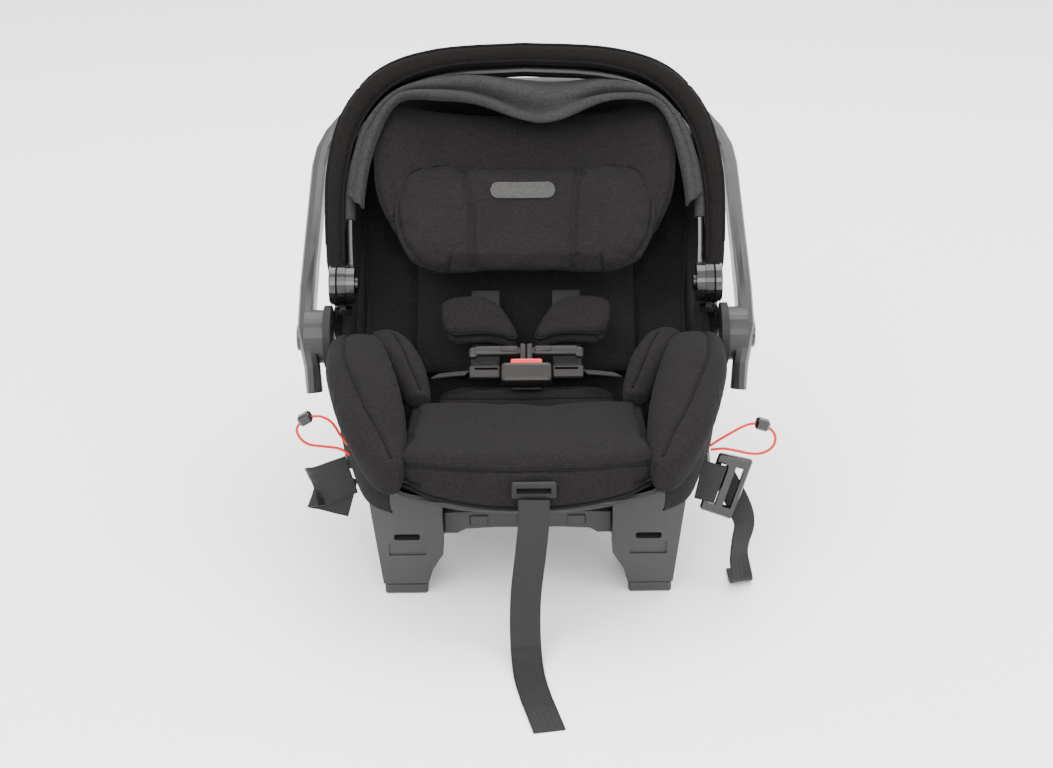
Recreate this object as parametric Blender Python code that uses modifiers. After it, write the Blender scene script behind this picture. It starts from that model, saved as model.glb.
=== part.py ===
"""Infant car seat with its stay-in-car base.

The seat faces -Y, its head end is toward +Y and +Z is up.  Lengths are metres and angles are degrees.
Left and right pieces are made by one loop: side -1 is at -X and side +1 at +X.
"""
import math

import bmesh
import bpy
from mathutils import Matrix, Vector

# Driving dimensions -----------------------------------------------------------------------------------
GAP = 0.0003                  # air left between two pieces that touch
SLIP = 0.0006                 # running clearance round a moving piece

RECLINE = 45.0                # lean of the seat back
SHELL_WALL = 0.004
SHELL_HALF_WIDTH = 0.188      # at the handle pivots
FOAM_WALL = 0.005
FOAM_INSET = SHELL_WALL + 0.0056

HANDLE_PIVOT = Vector((0.0, 0.160, 0.197))
HANDLE_LEAN = 62.0            # stowed position, measured back from upright
HANDLE_REACH = 0.350          # pivot to the middle of the grip
HANDLE_HALF_WIDTH = 0.2125    # middle of one arm
HANDLE_CORNER = 0.125         # radius of each upper corner
ARM_THICK = 0.016
ARM_DEPTH = 0.046             # fore and aft, at the pivot
GRIP_DEPTH = 0.031
MOUNT_RADIUS = 0.030
MOUNT_THICK = 0.0060
SHAFT_RADIUS = 0.011
BUTTON_TRAVEL = 0.004

HUB_RADIUS = 0.020
CANOPY_PIVOT = Vector((0.0, 0.190, 0.2195 + HUB_RADIUS))    # the hubs stand clear of their brackets
CANOPY_LEAN = 29.0            # front rim, folded back from upright
CANOPY_REACH = 0.229
HUB_INNER = 0.1655            # inner face of a canopy hub from the centre plane
HUB_DISC = 0.0080             # thickness of each of its three discs
RIM_HALF_WIDTH = 0.1835
VISOR_HALF_WIDTH = 0.1690
COVER_HALF_WIDTH = 0.1900
RIM_RADIUS = 0.011
BOW_RADIUS = 0.003

BASE_HALF_WIDTH = 0.146       # over the tops of the front legs
BASE_INNER = 0.078            # half of the gap between the legs
BASE_LENGTH = 0.400
LEG_DEPTH = 0.070
RAIL_TOP = 0.096
LEG_FOOT_HALF = 0.021         # half width of a leg at the floor
FOOT_MIDDLE = 0.113
FOOT_POST = 0.024
FOOT_TRAVEL = 0.040
FOOT_CLEAR = 0.012            # height of the part of the foot below the leg
BAR_BOTTOM = 0.059
BAR_TOP = 0.076
ROD_RADIUS = 0.004
FRONT_ROD = (0.060, 0.080)    # y and z of the front lock rod
REAR_ROD = (0.168, 0.080)
CLAW_SHAFT_OFFSET = (0.020, 0.003)    # shaft behind and above the rod that its claw holds
CLAW_SHAFT_RADIUS = 0.003
CLAW_WIDTH = 0.024

WEB_WIDTH = 0.027
WEB_THICK = 0.0014
BELT_WIDTH = 0.038
PULL_CORD_RADIUS = 0.00125

HEADREST_HALF = 0.150
HEADREST_LOW = 0.300          # distances along the seat back
HEADREST_HIGH = 0.465
HEADREST_BACK = 0.0325        # height above the back plane
WING_FRONT = 0.068
WING_WALL = 0.0045

PAD_HALF_WIDTH = 0.125
PAD_FRONT = -0.091
PAD_BACK = 0.070
PAD_CREST = 0.168

BUCKLE_HALF = 0.024
BUCKLE_LOW = 0.183
BUCKLE_HIGH = 0.203
BUCKLE_BACK = 0.060
BUCKLE_FRONT = 0.076
CLIP_LOW = 0.214
CLIP_HIGH = 0.2295
CLIP_BACK = 0.050
CLIP_FRONT = 0.058

OBJECT_NAME = "infant_car_seat"


# Scene and material helpers -----------------------------------------------------------------------------
def clear_scene():
    for obj in list(bpy.data.objects):
        bpy.data.objects.remove(obj, do_unlink=True)


def new_collection(name):
    collection = bpy.data.collections.new(name)
    bpy.context.scene.collection.children.link(collection)
    return collection


clear_scene()
PARTS = new_collection(OBJECT_NAME)
CUTTERS = new_collection("cutters")

FINISHES = {
    "base_plastic": ((0.115, 0.115, 0.110), 0.45, 0.0),
    "handle_plastic": ((0.092, 0.092, 0.098), 0.38, 0.0),
    "hub_plastic": ((0.035, 0.035, 0.037), 0.22, 0.0),
    "black_plastic": ((0.012, 0.012, 0.012), 0.40, 0.0),
    "buckle_plastic": ((0.053, 0.045, 0.040), 0.35, 0.0),
    "shell_plastic": ((0.030, 0.030, 0.030), 0.50, 0.0),
    "foam": ((0.75, 0.75, 0.73), 0.90, 0.0),
    "cover_fabric": ((0.030, 0.027, 0.027), 0.95, 0.0),
    "canopy_fabric": ((0.023, 0.019, 0.017), 0.95, 0.0),
    "visor_fabric": ((0.071, 0.067, 0.067), 0.95, 0.0),
    "webbing": ((0.032, 0.030, 0.030), 0.70, 0.0),
    "red_plastic": ((0.82, 0.060, 0.060), 0.35, 0.0),
    "red_cord": ((0.79, 0.032, 0.026), 0.60, 0.0),
    "steel": ((0.55, 0.55, 0.56), 0.30, 1.0),
}


def make_material(name, finish):
    colour, roughness, metallic = FINISHES[finish]
    material = bpy.data.materials.new(f"{name}_{finish}")
    material.use_nodes = True
    shader = material.node_tree.nodes["Principled BSDF"]
    shader.inputs["Base Color"].default_value = (*colour, 1.0)
    shader.inputs["Roughness"].default_value = roughness
    shader.inputs["Metallic"].default_value = metallic
    return material


def add_object(name, data, finish, collection=PARTS):
    obj = bpy.data.objects.new(name, data)
    collection.objects.link(obj)
    if finish:
        data.materials.append(make_material(name, finish))
    return obj


def as_mesh(name, bm, closed=True):
    """Turn a bmesh into a mesh; the faces of a closed one are made to point out."""
    mesh = bpy.data.meshes.new(name)
    if closed:
        bmesh.ops.recalc_face_normals(bm, faces=bm.faces)
    bm.to_mesh(mesh)
    bm.free()
    return mesh


def settle(obj):
    """Replace an object's data by its evaluated, welded mesh, so that it can be cut, joined or bevelled."""
    depsgraph = bpy.context.evaluated_depsgraph_get()
    mesh = bpy.data.meshes.new_from_object(obj.evaluated_get(depsgraph))
    bm = bmesh.new()
    bm.from_mesh(mesh)
    bmesh.ops.remove_doubles(bm, verts=bm.verts, dist=0.00002)
    bmesh.ops.recalc_face_normals(bm, faces=bm.faces)
    bm.to_mesh(mesh)
    bm.free()
    solid = bpy.data.objects.new(obj.name, mesh)
    for collection in obj.users_collection:
        collection.objects.link(solid)
    solid.matrix_world = obj.matrix_world.copy()
    name = obj.name
    bpy.data.objects.remove(obj, do_unlink=True)
    solid.name = name
    return solid


def soften(obj, radius, segments=2, angle=40.0):
    """Round the edges of an object that are sharper than angle."""
    bevel = obj.modifiers.new("rounding", "BEVEL")
    bevel.width = radius
    bevel.segments = segments
    bevel.limit_method = "ANGLE"
    bevel.angle_limit = math.radians(angle)
    bevel.use_clamp_overlap = True
    return obj


def smooth(obj, angle=35.0):
    obj.data.shade_smooth()
    obj.data.set_sharp_from_angle(angle=math.radians(angle))
    return obj


def boolean(obj, tool, operation):
    """Cut or join obj with a hidden tool object."""
    for collection in list(tool.users_collection):
        collection.objects.unlink(tool)
    CUTTERS.objects.link(tool)
    tool.hide_render = True
    tool.display_type = "WIRE"
    tool.data.materials.clear()
    modifier = obj.modifiers.new(operation.lower(), "BOOLEAN")
    modifier.operation = operation
    modifier.solver = "EXACT"
    modifier.object = tool
    return obj


def cut(obj, tool):
    return boolean(obj, tool, "DIFFERENCE")


def join(obj, tool):
    return boolean(obj, tool, "UNION")


# Shape helpers -------------------------------------------------------------------------------------------
def box(name, low, high, finish=None, radius=0.0, segments=2, turn=None):
    """A block between two corners, rounded by radius and turned by a matrix about the origin."""
    low = Vector(low)
    high = Vector(high)
    bm = bmesh.new()
    bmesh.ops.create_cube(bm, size=1.0)
    size = high - low
    middle = (high + low) / 2
    bmesh.ops.transform(bm, matrix=Matrix.Translation(middle) @ Matrix.Diagonal((*size, 1.0)), verts=bm.verts)
    obj = add_object(name, as_mesh(name, bm), finish)
    if turn is not None:
        obj.matrix_world = turn
    if radius:
        soften(obj, radius, segments)
    return obj


def cylinder(name, start, end, radius, finish=None, sides=24, end_radius=None):
    """A round bar or a cone from one point to another."""
    start = Vector(start)
    axis = Vector(end) - start
    bm = bmesh.new()
    bmesh.ops.create_cone(bm, cap_ends=True, segments=sides, radius1=radius,
                          radius2=radius if end_radius is None else end_radius, depth=axis.length)
    turn = Vector((0.0, 0.0, 1.0)).rotation_difference(axis).to_matrix().to_4x4()
    bmesh.ops.transform(bm, matrix=Matrix.Translation(start + axis / 2) @ turn, verts=bm.verts)
    return smooth(add_object(name, as_mesh(name, bm), finish))


def plate(name, outline, thickness, finish=None, radius=0.0, segments=2, turn=None):
    """A flat outline in a local XY plane, as thick as given about that plane, stood where turn puts it."""
    curve = bpy.data.curves.new(name, "CURVE")
    curve.dimensions = "2D"
    curve.fill_mode = "BOTH"
    curve.extrude = thickness / 2
    spline = curve.splines.new("POLY")
    spline.points.add(len(outline) - 1)
    for point, (across, along) in zip(spline.points, outline):
        point.co = (across, along, 0.0, 1.0)
    spline.use_cyclic_u = True
    obj = add_object(name, curve, finish)
    if turn is not None:
        obj.matrix_world = turn
    bpy.context.view_layer.update()
    obj = settle(obj)
    if radius:
        soften(obj, radius, segments)
    return obj


def tube(name, route, radius, finish, closed=False, resolution=2):
    """A round wire or pipe along a list of points."""
    curve = bpy.data.curves.new(name, "CURVE")
    curve.dimensions = "3D"
    curve.bevel_depth = radius
    curve.bevel_resolution = resolution
    curve.use_fill_caps = not closed
    spline = curve.splines.new("POLY")
    spline.points.add(len(route) - 1)
    for point, place in zip(spline.points, route):
        point.co = (*place, 1.0)
    spline.use_cyclic_u = closed
    return add_object(name, curve, finish)


def loft(name, rings, finish=None):
    """Skin a list of rings that have equal numbers of points, and close both ends."""
    bm = bmesh.new()
    rows = [[bm.verts.new(point) for point in ring] for ring in rings]
    count = len(rows[0])
    for near, far in zip(rows, rows[1:]):
        for index in range(count):
            after = (index + 1) % count
            bm.faces.new((near[index], near[after], far[after], far[index]))
    bm.faces.new(list(reversed(rows[0])))
    bm.faces.new(rows[-1])
    return smooth(add_object(name, as_mesh(name, bm), finish))


def sheet(name, rows, thickness, finish, offset=-1.0):
    """An open surface through rows of points, thickened to one side."""
    bm = bmesh.new()
    grid = [[bm.verts.new(point) for point in row] for row in rows]
    for near, far in zip(grid, grid[1:]):
        for index in range(len(near) - 1):
            bm.faces.new((near[index], near[index + 1], far[index + 1], far[index]))
    obj = smooth(add_object(name, as_mesh(name, bm, closed=False), finish), 60.0)
    solid = obj.modifiers.new("wall", "SOLIDIFY")
    solid.thickness = thickness
    solid.offset = offset
    return obj


def spline_through(points, steps):
    """Catmull-Rom points through hand-placed ones, with steps points to each span."""
    points = [Vector(point) for point in points]
    ends = [2 * points[0] - points[1], *points, 2 * points[-1] - points[-2]]
    result = []
    for before, start, end, after in zip(ends, ends[1:], ends[2:], ends[3:]):
        for step in range(steps):
            t = step / steps
            result.append(0.5 * ((2 * start) + (end - before) * t
                                 + (2 * before - 5 * start + 4 * end - after) * t * t
                                 + (3 * start - before - 3 * end + after) * t * t * t))
    result.append(points[-1])
    return result


def ribbon(name, route, across, width, thickness, finish, steps=4):
    """Webbing along a smooth curve through route, its width along one direction or one for each point."""
    line = spline_through(route, steps)
    if not isinstance(across, list):
        across = [across] * len(route)
    sides = spline_through(across, steps)
    rings = []
    for index, place in enumerate(line):
        ahead = line[min(index + 1, len(line) - 1)] - line[max(index - 1, 0)]
        normal = ahead.cross(sides[index]).normalized()
        side = normal.cross(ahead).normalized()
        half = side * width / 2
        rise = normal * thickness / 2
        rings.append([place - half - rise, place + half - rise, place + half + rise, place - half + rise])
    return loft(name, rings, finish)


def side_name(side):
    return "left" if side < 0 else "right"


def turn_x(angle):
    return Matrix.Rotation(math.radians(angle), 4, "X")


BACK = turn_x(RECLINE)        # local Y runs up the seat back and local Z stands out from it
# A plate drawn as (y, z) and thickened along X:
SIDE_VIEW = Matrix(((0, 0, 1, 0), (1, 0, 0, 0), (0, 1, 0, 0), (0, 0, 0, 1)))


def back_box(name, low, high, finish=None, radius=0.0, segments=2):
    """A block given as (across, along the back, out from the back)."""
    return box(name, low, high, finish, radius, segments, turn=BACK)


def back_point(across, along, out):
    return BACK @ Vector((across, along, out))


def side_plate(name, outline, middle, thickness, finish=None, radius=0.0):
    """A plate drawn in the (y, z) plane and centred on x = middle."""
    return plate(name, outline, thickness, finish, radius, turn=Matrix.Translation((middle, 0, 0)) @ SIDE_VIEW)


def arc(middle, radius, start, end, steps):
    """Points of a circular arc, angles in degrees."""
    result = []
    for step in range(steps + 1):
        angle = math.radians(start + (end - start) * step / steps)
        result.append((middle[0] + radius * math.cos(angle), middle[1] + radius * math.sin(angle)))
    return result


# Base ------------------------------------------------------------------------------------------------------
def leg_ring(y, outer_top, top):
    """Section of one side rail across X: wide at the top, narrow toward the floor."""
    low = FOOT_CLEAR
    return [(BASE_INNER, y, top), (BASE_INNER, y, 0.042), (FOOT_MIDDLE - LEG_FOOT_HALF - 0.004, y, 0.026),
            (FOOT_MIDDLE - LEG_FOOT_HALF, y, low), (FOOT_MIDDLE + LEG_FOOT_HALF, y, low),
            (outer_top - 0.004, y, top - 0.022), (outer_top, y, top + 0.010)]


def rail_ring(y, outer_top, top, low):
    """The same section further back, where the rail leaves the floor."""
    return [(BASE_INNER, y, top), (BASE_INNER, y, low + 0.020), (BASE_INNER + 0.004, y, low + 0.006),
            (BASE_INNER + 0.012, y, low), (outer_top - 0.020, y, low),
            (outer_top - 0.004, y, top - 0.018), (outer_top, y, top + 0.010)]


def base_rail(side):
    rings = [leg_ring(0.0, BASE_HALF_WIDTH, RAIL_TOP), leg_ring(LEG_DEPTH, BASE_HALF_WIDTH, RAIL_TOP),
             rail_ring(LEG_DEPTH + 0.012, BASE_HALF_WIDTH, RAIL_TOP, 0.050),
             rail_ring(0.250, BASE_HALF_WIDTH, RAIL_TOP, 0.050),
             rail_ring(0.330, BASE_HALF_WIDTH - 0.004, RAIL_TOP, 0.046)]
    rings = [[Vector((side * x, y, z)) for x, y, z in ring] for ring in rings]
    return loft(f"rail_{side_name(side)}", rings)


def rear_pan():
    """The pan that stands on the floor behind and joins the rails."""
    front = 0.245
    outline = [(front, 0.0), (BASE_LENGTH - 0.03, 0.0), (BASE_LENGTH, 0.022), (BASE_LENGTH, 0.092),
               (BASE_LENGTH - 0.014, 0.104), (0.310, 0.104), (front, 0.052)]
    pan = side_plate("rear_pan", outline, 0.0, 2 * (BASE_HALF_WIDTH - 0.012))
    return soften(pan, 0.008)


def belt_fin(side):
    """A curved wing that stands beside the seat, with a slot for the vehicle belt."""
    rows = []
    for y in (0.012, 0.035, 0.060, 0.085, 0.108):
        sag = ((y - 0.060) / 0.048) ** 2
        top = 0.140 - 0.014 * sag
        rows.append([Vector((side * x, y, z)) for x, z in
                     ((0.1385, 0.092), (0.1455, 0.110), (0.1550, 0.126), (0.1660, top))])
    fin = sheet(f"fin_{side_name(side)}", rows, 0.0055, None, offset=0.0)
    near, far = sorted((side * 0.10, side * 0.19))
    return cut(fin, box(f"fin_slot_{side_name(side)}", (near, 0.036, 0.112), (far, 0.086, 0.124), None, 0.003))


def foot_shaft(side, clearance):
    """The post that slides in a leg, or its hole when clearance is given."""
    half = FOOT_POST / 2 + clearance
    middle = side * FOOT_MIDDLE
    top = 0.082 + clearance
    low = FOOT_CLEAR - 0.002 if clearance else 0.004
    name = f"{'hole' if clearance else 'post'}_{side_name(side)}"
    return box(name, (middle - half, 0.022 - clearance, low), (middle + half, 0.046 + clearance, top))


def make_base():
    shell = base_rail(-1)
    shell.name = "base_shell"
    shell.data.materials.append(make_material("base_shell", "base_plastic"))
    join(shell, base_rail(1))
    join(shell, rear_pan())
    shell = settle(shell)
    for side in (-1, 1):
        join(shell, belt_fin(side))
        cut(shell, foot_shaft(side, SLIP))
        inner = side * (BASE_INNER - 0.004)
        outer = side * FOOT_MIDDLE
        cut(shell, box(f"bar_slot_{side_name(side)}", (min(inner, outer), 0.026 - SLIP, BAR_BOTTOM - FOOT_TRAVEL),
                       (max(inner, outer), 0.042 + SLIP, BAR_TOP - 0.003 + SLIP)))
        window = side * (FOOT_MIDDLE - 0.002)
        cut(shell, box(f"leg_window_{side_name(side)}", (window - 0.012, -0.01, 0.0565),
                       (window + 0.012, 0.012, 0.0625), None, 0.002))
        cut(shell, box(f"leg_recess_{side_name(side)}", (window - 0.017, -0.01, 0.041),
                       (window + 0.017, 0.002, 0.053)))
        for name, (y, z) in (("front", FRONT_ROD), ("rear", REAR_ROD)):
            cut(shell, cylinder(f"{name}_seat_{side_name(side)}", (side * 0.060, y, z), (side * 0.0955, y, z),
                                ROD_RADIUS + GAP, sides=16))
    for name, (y, z) in (("front", FRONT_ROD), ("rear", REAR_ROD)):
        cylinder(f"{name}_lock_rod", (-0.095, y, z), (0.095, y, z), ROD_RADIUS, "steel", sides=16)
    make_recline_foot()


def bar_outline(inset):
    """Front view of the crossbar between the legs: bowed, with deeper ends."""
    half = BASE_INNER - inset
    return [(-half, BAR_BOTTOM - 0.004), (-half + 0.013, BAR_BOTTOM - 0.004), (-half + 0.020, BAR_BOTTOM),
            (-0.030, BAR_BOTTOM + 0.0015), (0.030, BAR_BOTTOM + 0.0015), (half - 0.020, BAR_BOTTOM),
            (half - 0.013, BAR_BOTTOM - 0.004), (half, BAR_BOTTOM - 0.004),
            (half, BAR_TOP), (0.030, BAR_TOP + 0.002), (-0.030, BAR_TOP + 0.002), (-half, BAR_TOP)]


def make_recline_foot():
    """One moulding: two posts that slide in the legs, their shoes, and the crossbar that ties them."""
    front_view = Matrix(((1, 0, 0, 0), (0, 0, 1, 0.032), (0, 1, 0, 0), (0, 0, 0, 1)))
    foot = plate("recline_foot", bar_outline(SLIP), 0.030, "base_plastic", 0.0025, turn=front_view)
    for side in (-1, 1):
        join(foot, foot_shaft(side, 0.0))
        near = side * (BASE_INNER - 0.004)
        far = side * (FOOT_MIDDLE - 0.005)
        join(foot, box(f"tenon_{side_name(side)}", (min(near, far), 0.026, BAR_BOTTOM + 0.002),
                       (max(near, far), 0.042, BAR_TOP - 0.003)))
        middle = side * FOOT_MIDDLE
        shoe = box(f"shoe_{side_name(side)}", (middle - LEG_FOOT_HALF + 0.001, 0.002, 0.0),
                   (middle + LEG_FOOT_HALF - 0.001, LEG_DEPTH - 0.002, FOOT_CLEAR - GAP), None, 0.002, 1)
        join(foot, shoe)
    for across in (-0.045, 0.045):
        join(foot, box("bar_pad", (across - 0.009, 0.0155, BAR_BOTTOM + 0.004),
                       (across + 0.009, 0.020, BAR_TOP - 0.002), None, 0.0015, 1))
    join(foot, box("bar_block", (-0.010, 0.0145, BAR_BOTTOM + 0.0035), (0.010, 0.020, BAR_TOP + 0.001), None,
                   0.0015, 1))


# Lower anchor belts, cords and their hardware -----------------------------------------------------------
PULL_LOOPS = {
    -1: [(-0.1620, 0.002, 0.1520), (-0.1690, 0.005, 0.1613), (-0.1760, 0.006, 0.1725), (-0.1866, 0.006, 0.1785),
         (-0.1993, 0.006, 0.1760), (-0.2075, 0.006, 0.1665), (-0.2043, 0.006, 0.1564), (-0.1967, 0.006, 0.1508),
         (-0.1855, 0.006, 0.1490), (-0.1700, 0.004, 0.1475), (-0.1600, 0.000, 0.1430)],
    1: [(0.1655, 0.000, 0.1490), (0.1732, 0.005, 0.1520), (0.1838, 0.006, 0.1583), (0.1943, 0.006, 0.1645),
        (0.2032, 0.006, 0.1675), (0.2123, 0.006, 0.1664), (0.2207, 0.006, 0.1613), (0.2246, 0.006, 0.1534),
        (0.2223, 0.006, 0.1445), (0.2135, 0.006, 0.1386), (0.2027, 0.006, 0.1381), (0.1916, 0.005, 0.1410),
        (0.1780, 0.003, 0.1445), (0.1660, 0.002, 0.1440)],
}
LOCK_PLACES = {-1: (-0.1993, 0.006, 0.1760, 29.0), 1: (0.2123, 0.006, 0.1664, 17.0)}
BELT_TAIL = [(0.1765, 0.0180, 0.1180), (0.1845, 0.0195, 0.1020), (0.1945, 0.0190, 0.0820), (0.2000, 0.0140, 0.0650),
             (0.1965, 0.0070, 0.0500), (0.1950, 0.0045, 0.0360), (0.1970, 0.0040, 0.0210), (0.1985, 0.0085, 0.0085),
             (0.1990, 0.0220, 0.0020), (0.1990, 0.0450, 0.0014)]
BELT_TAIL_ACROSS = [(0.80, 0.0, 0.55), (0.82, 0.0, 0.52), (0.85, 0.1, 0.45), (0.85, 0.5, 0.1), (0.80, 0.6, 0.0),
                    (0.80, 0.6, 0.0), (0.85, 0.5, 0.0), (0.95, 0.3, 0.0), (1.0, 0.1, 0.0), (1.0, 0.0, 0.0)]
ADJUSTER_TAIL = [(0.0056, -0.0990, 0.1430), (0.0050, -0.1010, 0.1200), (0.0020, -0.1010, 0.0900),
                 (-0.0020, -0.1030, 0.0550), (-0.0030, -0.1120, 0.0270), (-0.0020, -0.1300, 0.0085),
                 (0.0004, -0.1550, 0.0020), (0.0050, -0.1850, 0.0012), (0.0110, -0.2150, 0.0012),
                 (0.0165, -0.2420, 0.0012)]


def make_anchor_belts():
    left = [(-0.1600, 0.0080, 0.1200), (-0.1740, 0.0050, 0.1160), (-0.1880, 0.0040, 0.1110),
            (-0.1945, 0.0070, 0.1080), (-0.1880, 0.0110, 0.1030), (-0.1740, 0.0120, 0.0980),
            (-0.1600, 0.0125, 0.0940)]
    ribbon("anchor_belt_left", left, (-0.15, 0.0, 1.0), BELT_WIDTH, 0.0020, "webbing", 3)
    right = [(0.1560, 0.0060, 0.1130), (0.1660, 0.0040, 0.1110), (0.1760, 0.0040, 0.1080)]
    ribbon("anchor_belt_right", right, (0.28, 0.0, 1.0), BELT_WIDTH, 0.0020, "webbing", 2)
    outline = [(-0.016, -0.0290), (0.016, -0.0310), (0.016, 0.0310), (-0.016, 0.0290)]
    frame = plate("belt_adjuster_frame", outline, 0.006, "black_plastic", 0.0018, 1, turn=ADJUSTER_PLACE)
    for low, high in ((-0.011, -0.0035), (0.0030, 0.0110)):
        cut(frame, box("adjuster_hole", (low, -0.0205, -0.01), (high, 0.0205, 0.01), turn=ADJUSTER_PLACE))
    ribbon("anchor_belt_tail", BELT_TAIL, BELT_TAIL_ACROSS, 0.022, 0.0016, "webbing", 3)


# The frame stands in the local XY plane, with X along the belt and Y across it.
ADJUSTER_PLACE = Matrix.Translation((0.1815, 0.010, 0.1050)) @ Matrix.Rotation(math.radians(17), 4, "Y") \
    @ turn_x(90)


def make_pull_cords():
    """A red cord loop on each side, with a cord lock on it."""
    for side in (-1, 1):
        tube(f"pull_cord_{side_name(side)}", spline_through(PULL_LOOPS[side], 3), PULL_CORD_RADIUS, "red_cord")
        x, y, z, lean = LOCK_PLACES[side]
        place = Matrix.Translation((x, y, z)) @ Matrix.Rotation(math.radians(lean * side), 4, "Y")
        lock = box(f"cord_lock_{side_name(side)}", (-0.0065, -0.0050, -0.0045), (0.0065, 0.0050, 0.0055),
                   "black_plastic", 0.002, 1, turn=place)
        cut(lock, box("cord_channel", (-0.02, -0.0020, -0.0030), (0.02, 0.0020, 0.0024), turn=place))


# Carrier shell -------------------------------------------------------------------------------------------
# Each station holds the rim (y, z), the floor under it (y, z) and the half width, from foot end to head end.
def shell_stations():
    wide = SHELL_HALF_WIDTH
    return [((-0.072, 0.138), (-0.070, 0.124), wide - 0.074), ((-0.040, 0.147), (-0.052, 0.107), wide - 0.046),
            ((0.040, 0.171), (0.010, 0.095), wide - 0.022), ((0.120, 0.190), (0.090, 0.0945), wide - 0.004),
            ((0.190, 0.208), (0.170, 0.118), wide), ((0.260, 0.262), (0.248, 0.203), wide - 0.004),
            ((0.330, 0.325), (0.322, 0.279), wide - 0.010), ((0.385, 0.368), (0.384, 0.341), wide - 0.024),
            ((0.412, 0.386), (0.414, 0.372), wide - 0.050)]


def basin_rows(inset, start, end, steps=14):
    """Rows of points across the bucket, inset from the outer shell, from depth start to depth end."""
    rims = spline_through([(0.0, *rim) for rim, floor, wide in shell_stations()], 2)
    floors = spline_through([(0.0, *floor) for rim, floor, wide in shell_stations()], 2)
    widths = spline_through([(wide, 0.0, 0.0) for rim, floor, wide in shell_stations()], 2)
    rows = []
    for rim, floor, wide in zip(rims, floors, widths):
        inward = (rim - floor).normalized()
        half = wide.x - inset
        low = floor + inward * inset
        row = []
        for step in range(steps + 1):
            angle = math.radians(start + (end - start) * step / steps)
            place = rim.lerp(low, math.sin(angle))
            row.append(Vector((-half * math.cos(angle), place.y, place.z)))
        rows.append(row)
    return rows


def make_shell():
    shell = sheet("outer_shell", basin_rows(0.0, 0.0, 180.0), SHELL_WALL, "shell_plastic", offset=1.0)
    for side in (-1, 1):
        add_handle_mount(shell, side)
    add_claw_bracket(shell, FRONT_ROD, 0.0980)
    add_claw_bracket(shell, REAR_ROD, 0.1330)
    rows = basin_rows(FOAM_INSET, 34.0, 146.0, 12)
    sheet("foam_liner", rows[2:-2], FOAM_WALL, "foam", offset=1.0)


def add_handle_mount(shell, side):
    """The round housing that one end of the carry handle turns in."""
    inner = side * (SHELL_HALF_WIDTH - 0.0010)
    outer = side * (SHELL_HALF_WIDTH + MOUNT_THICK)
    join(shell, cylinder("handle_mount", (inner, *HANDLE_PIVOT.yz), (outer, *HANDLE_PIVOT.yz), MOUNT_RADIUS,
                         sides=40))
    cut(shell, cylinder("mount_bore", (inner - side * 0.01, *HANDLE_PIVOT.yz),
                        (outer + side * 0.01, *HANDLE_PIVOT.yz), SHAFT_RADIUS + SLIP, sides=32))


def claw_shaft(rod):
    return (rod[0] + CLAW_SHAFT_OFFSET[0], rod[1] + CLAW_SHAFT_OFFSET[1])


def add_claw_bracket(shell, rod, top):
    """Two cheeks under the shell with the shaft that a latch claw turns on."""
    shaft = claw_shaft(rod)
    for side in (-1, 1):
        near, far = sorted((side * (CLAW_WIDTH / 2 + SLIP), side * (CLAW_WIDTH / 2 + SLIP + 0.004)))
        join(shell, box("cheek", (near, shaft[0] - 0.007, shaft[1] - 0.006), (far, shaft[0] + 0.007, top)))
    reach = CLAW_WIDTH / 2 + 0.003
    join(shell, cylinder("shaft", (-reach, *shaft), (reach, *shaft), CLAW_SHAFT_RADIUS, sides=20))


# Carry handle --------------------------------------------------------------------------------------------
# In the handle's own frame X is across, Y runs from the pivots to the grip and Z faces the foot end.
HANDLE = Matrix.Translation(HANDLE_PIVOT) @ turn_x(90.0 - HANDLE_LEAN)


def handle_path():
    """Middle line of the right arm from its lower end to the middle of the grip, with its depth."""
    half = HANDLE_HALF_WIDTH
    straight = HANDLE_REACH - HANDLE_CORNER
    path = [((half - 0.008, -0.041, -0.034), 0.017), ((half - 0.006, -0.024, -0.017), 0.021),
            ((half, 0.0, 0.0), ARM_DEPTH / 2), ((half + 0.001, 0.050, 0.0), ARM_DEPTH / 2 - 0.002),
            ((half + 0.001, 0.110, 0.0), GRIP_DEPTH / 2 + 0.001), ((half, straight, 0.0), GRIP_DEPTH / 2)]
    for across, along in arc((half - HANDLE_CORNER, straight), HANDLE_CORNER, 12.0, 90.0, 7):
        path.append(((across, along, 0.0), GRIP_DEPTH / 2))
    path.append(((0.0, HANDLE_REACH, 0.0), GRIP_DEPTH / 2))
    return path


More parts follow.
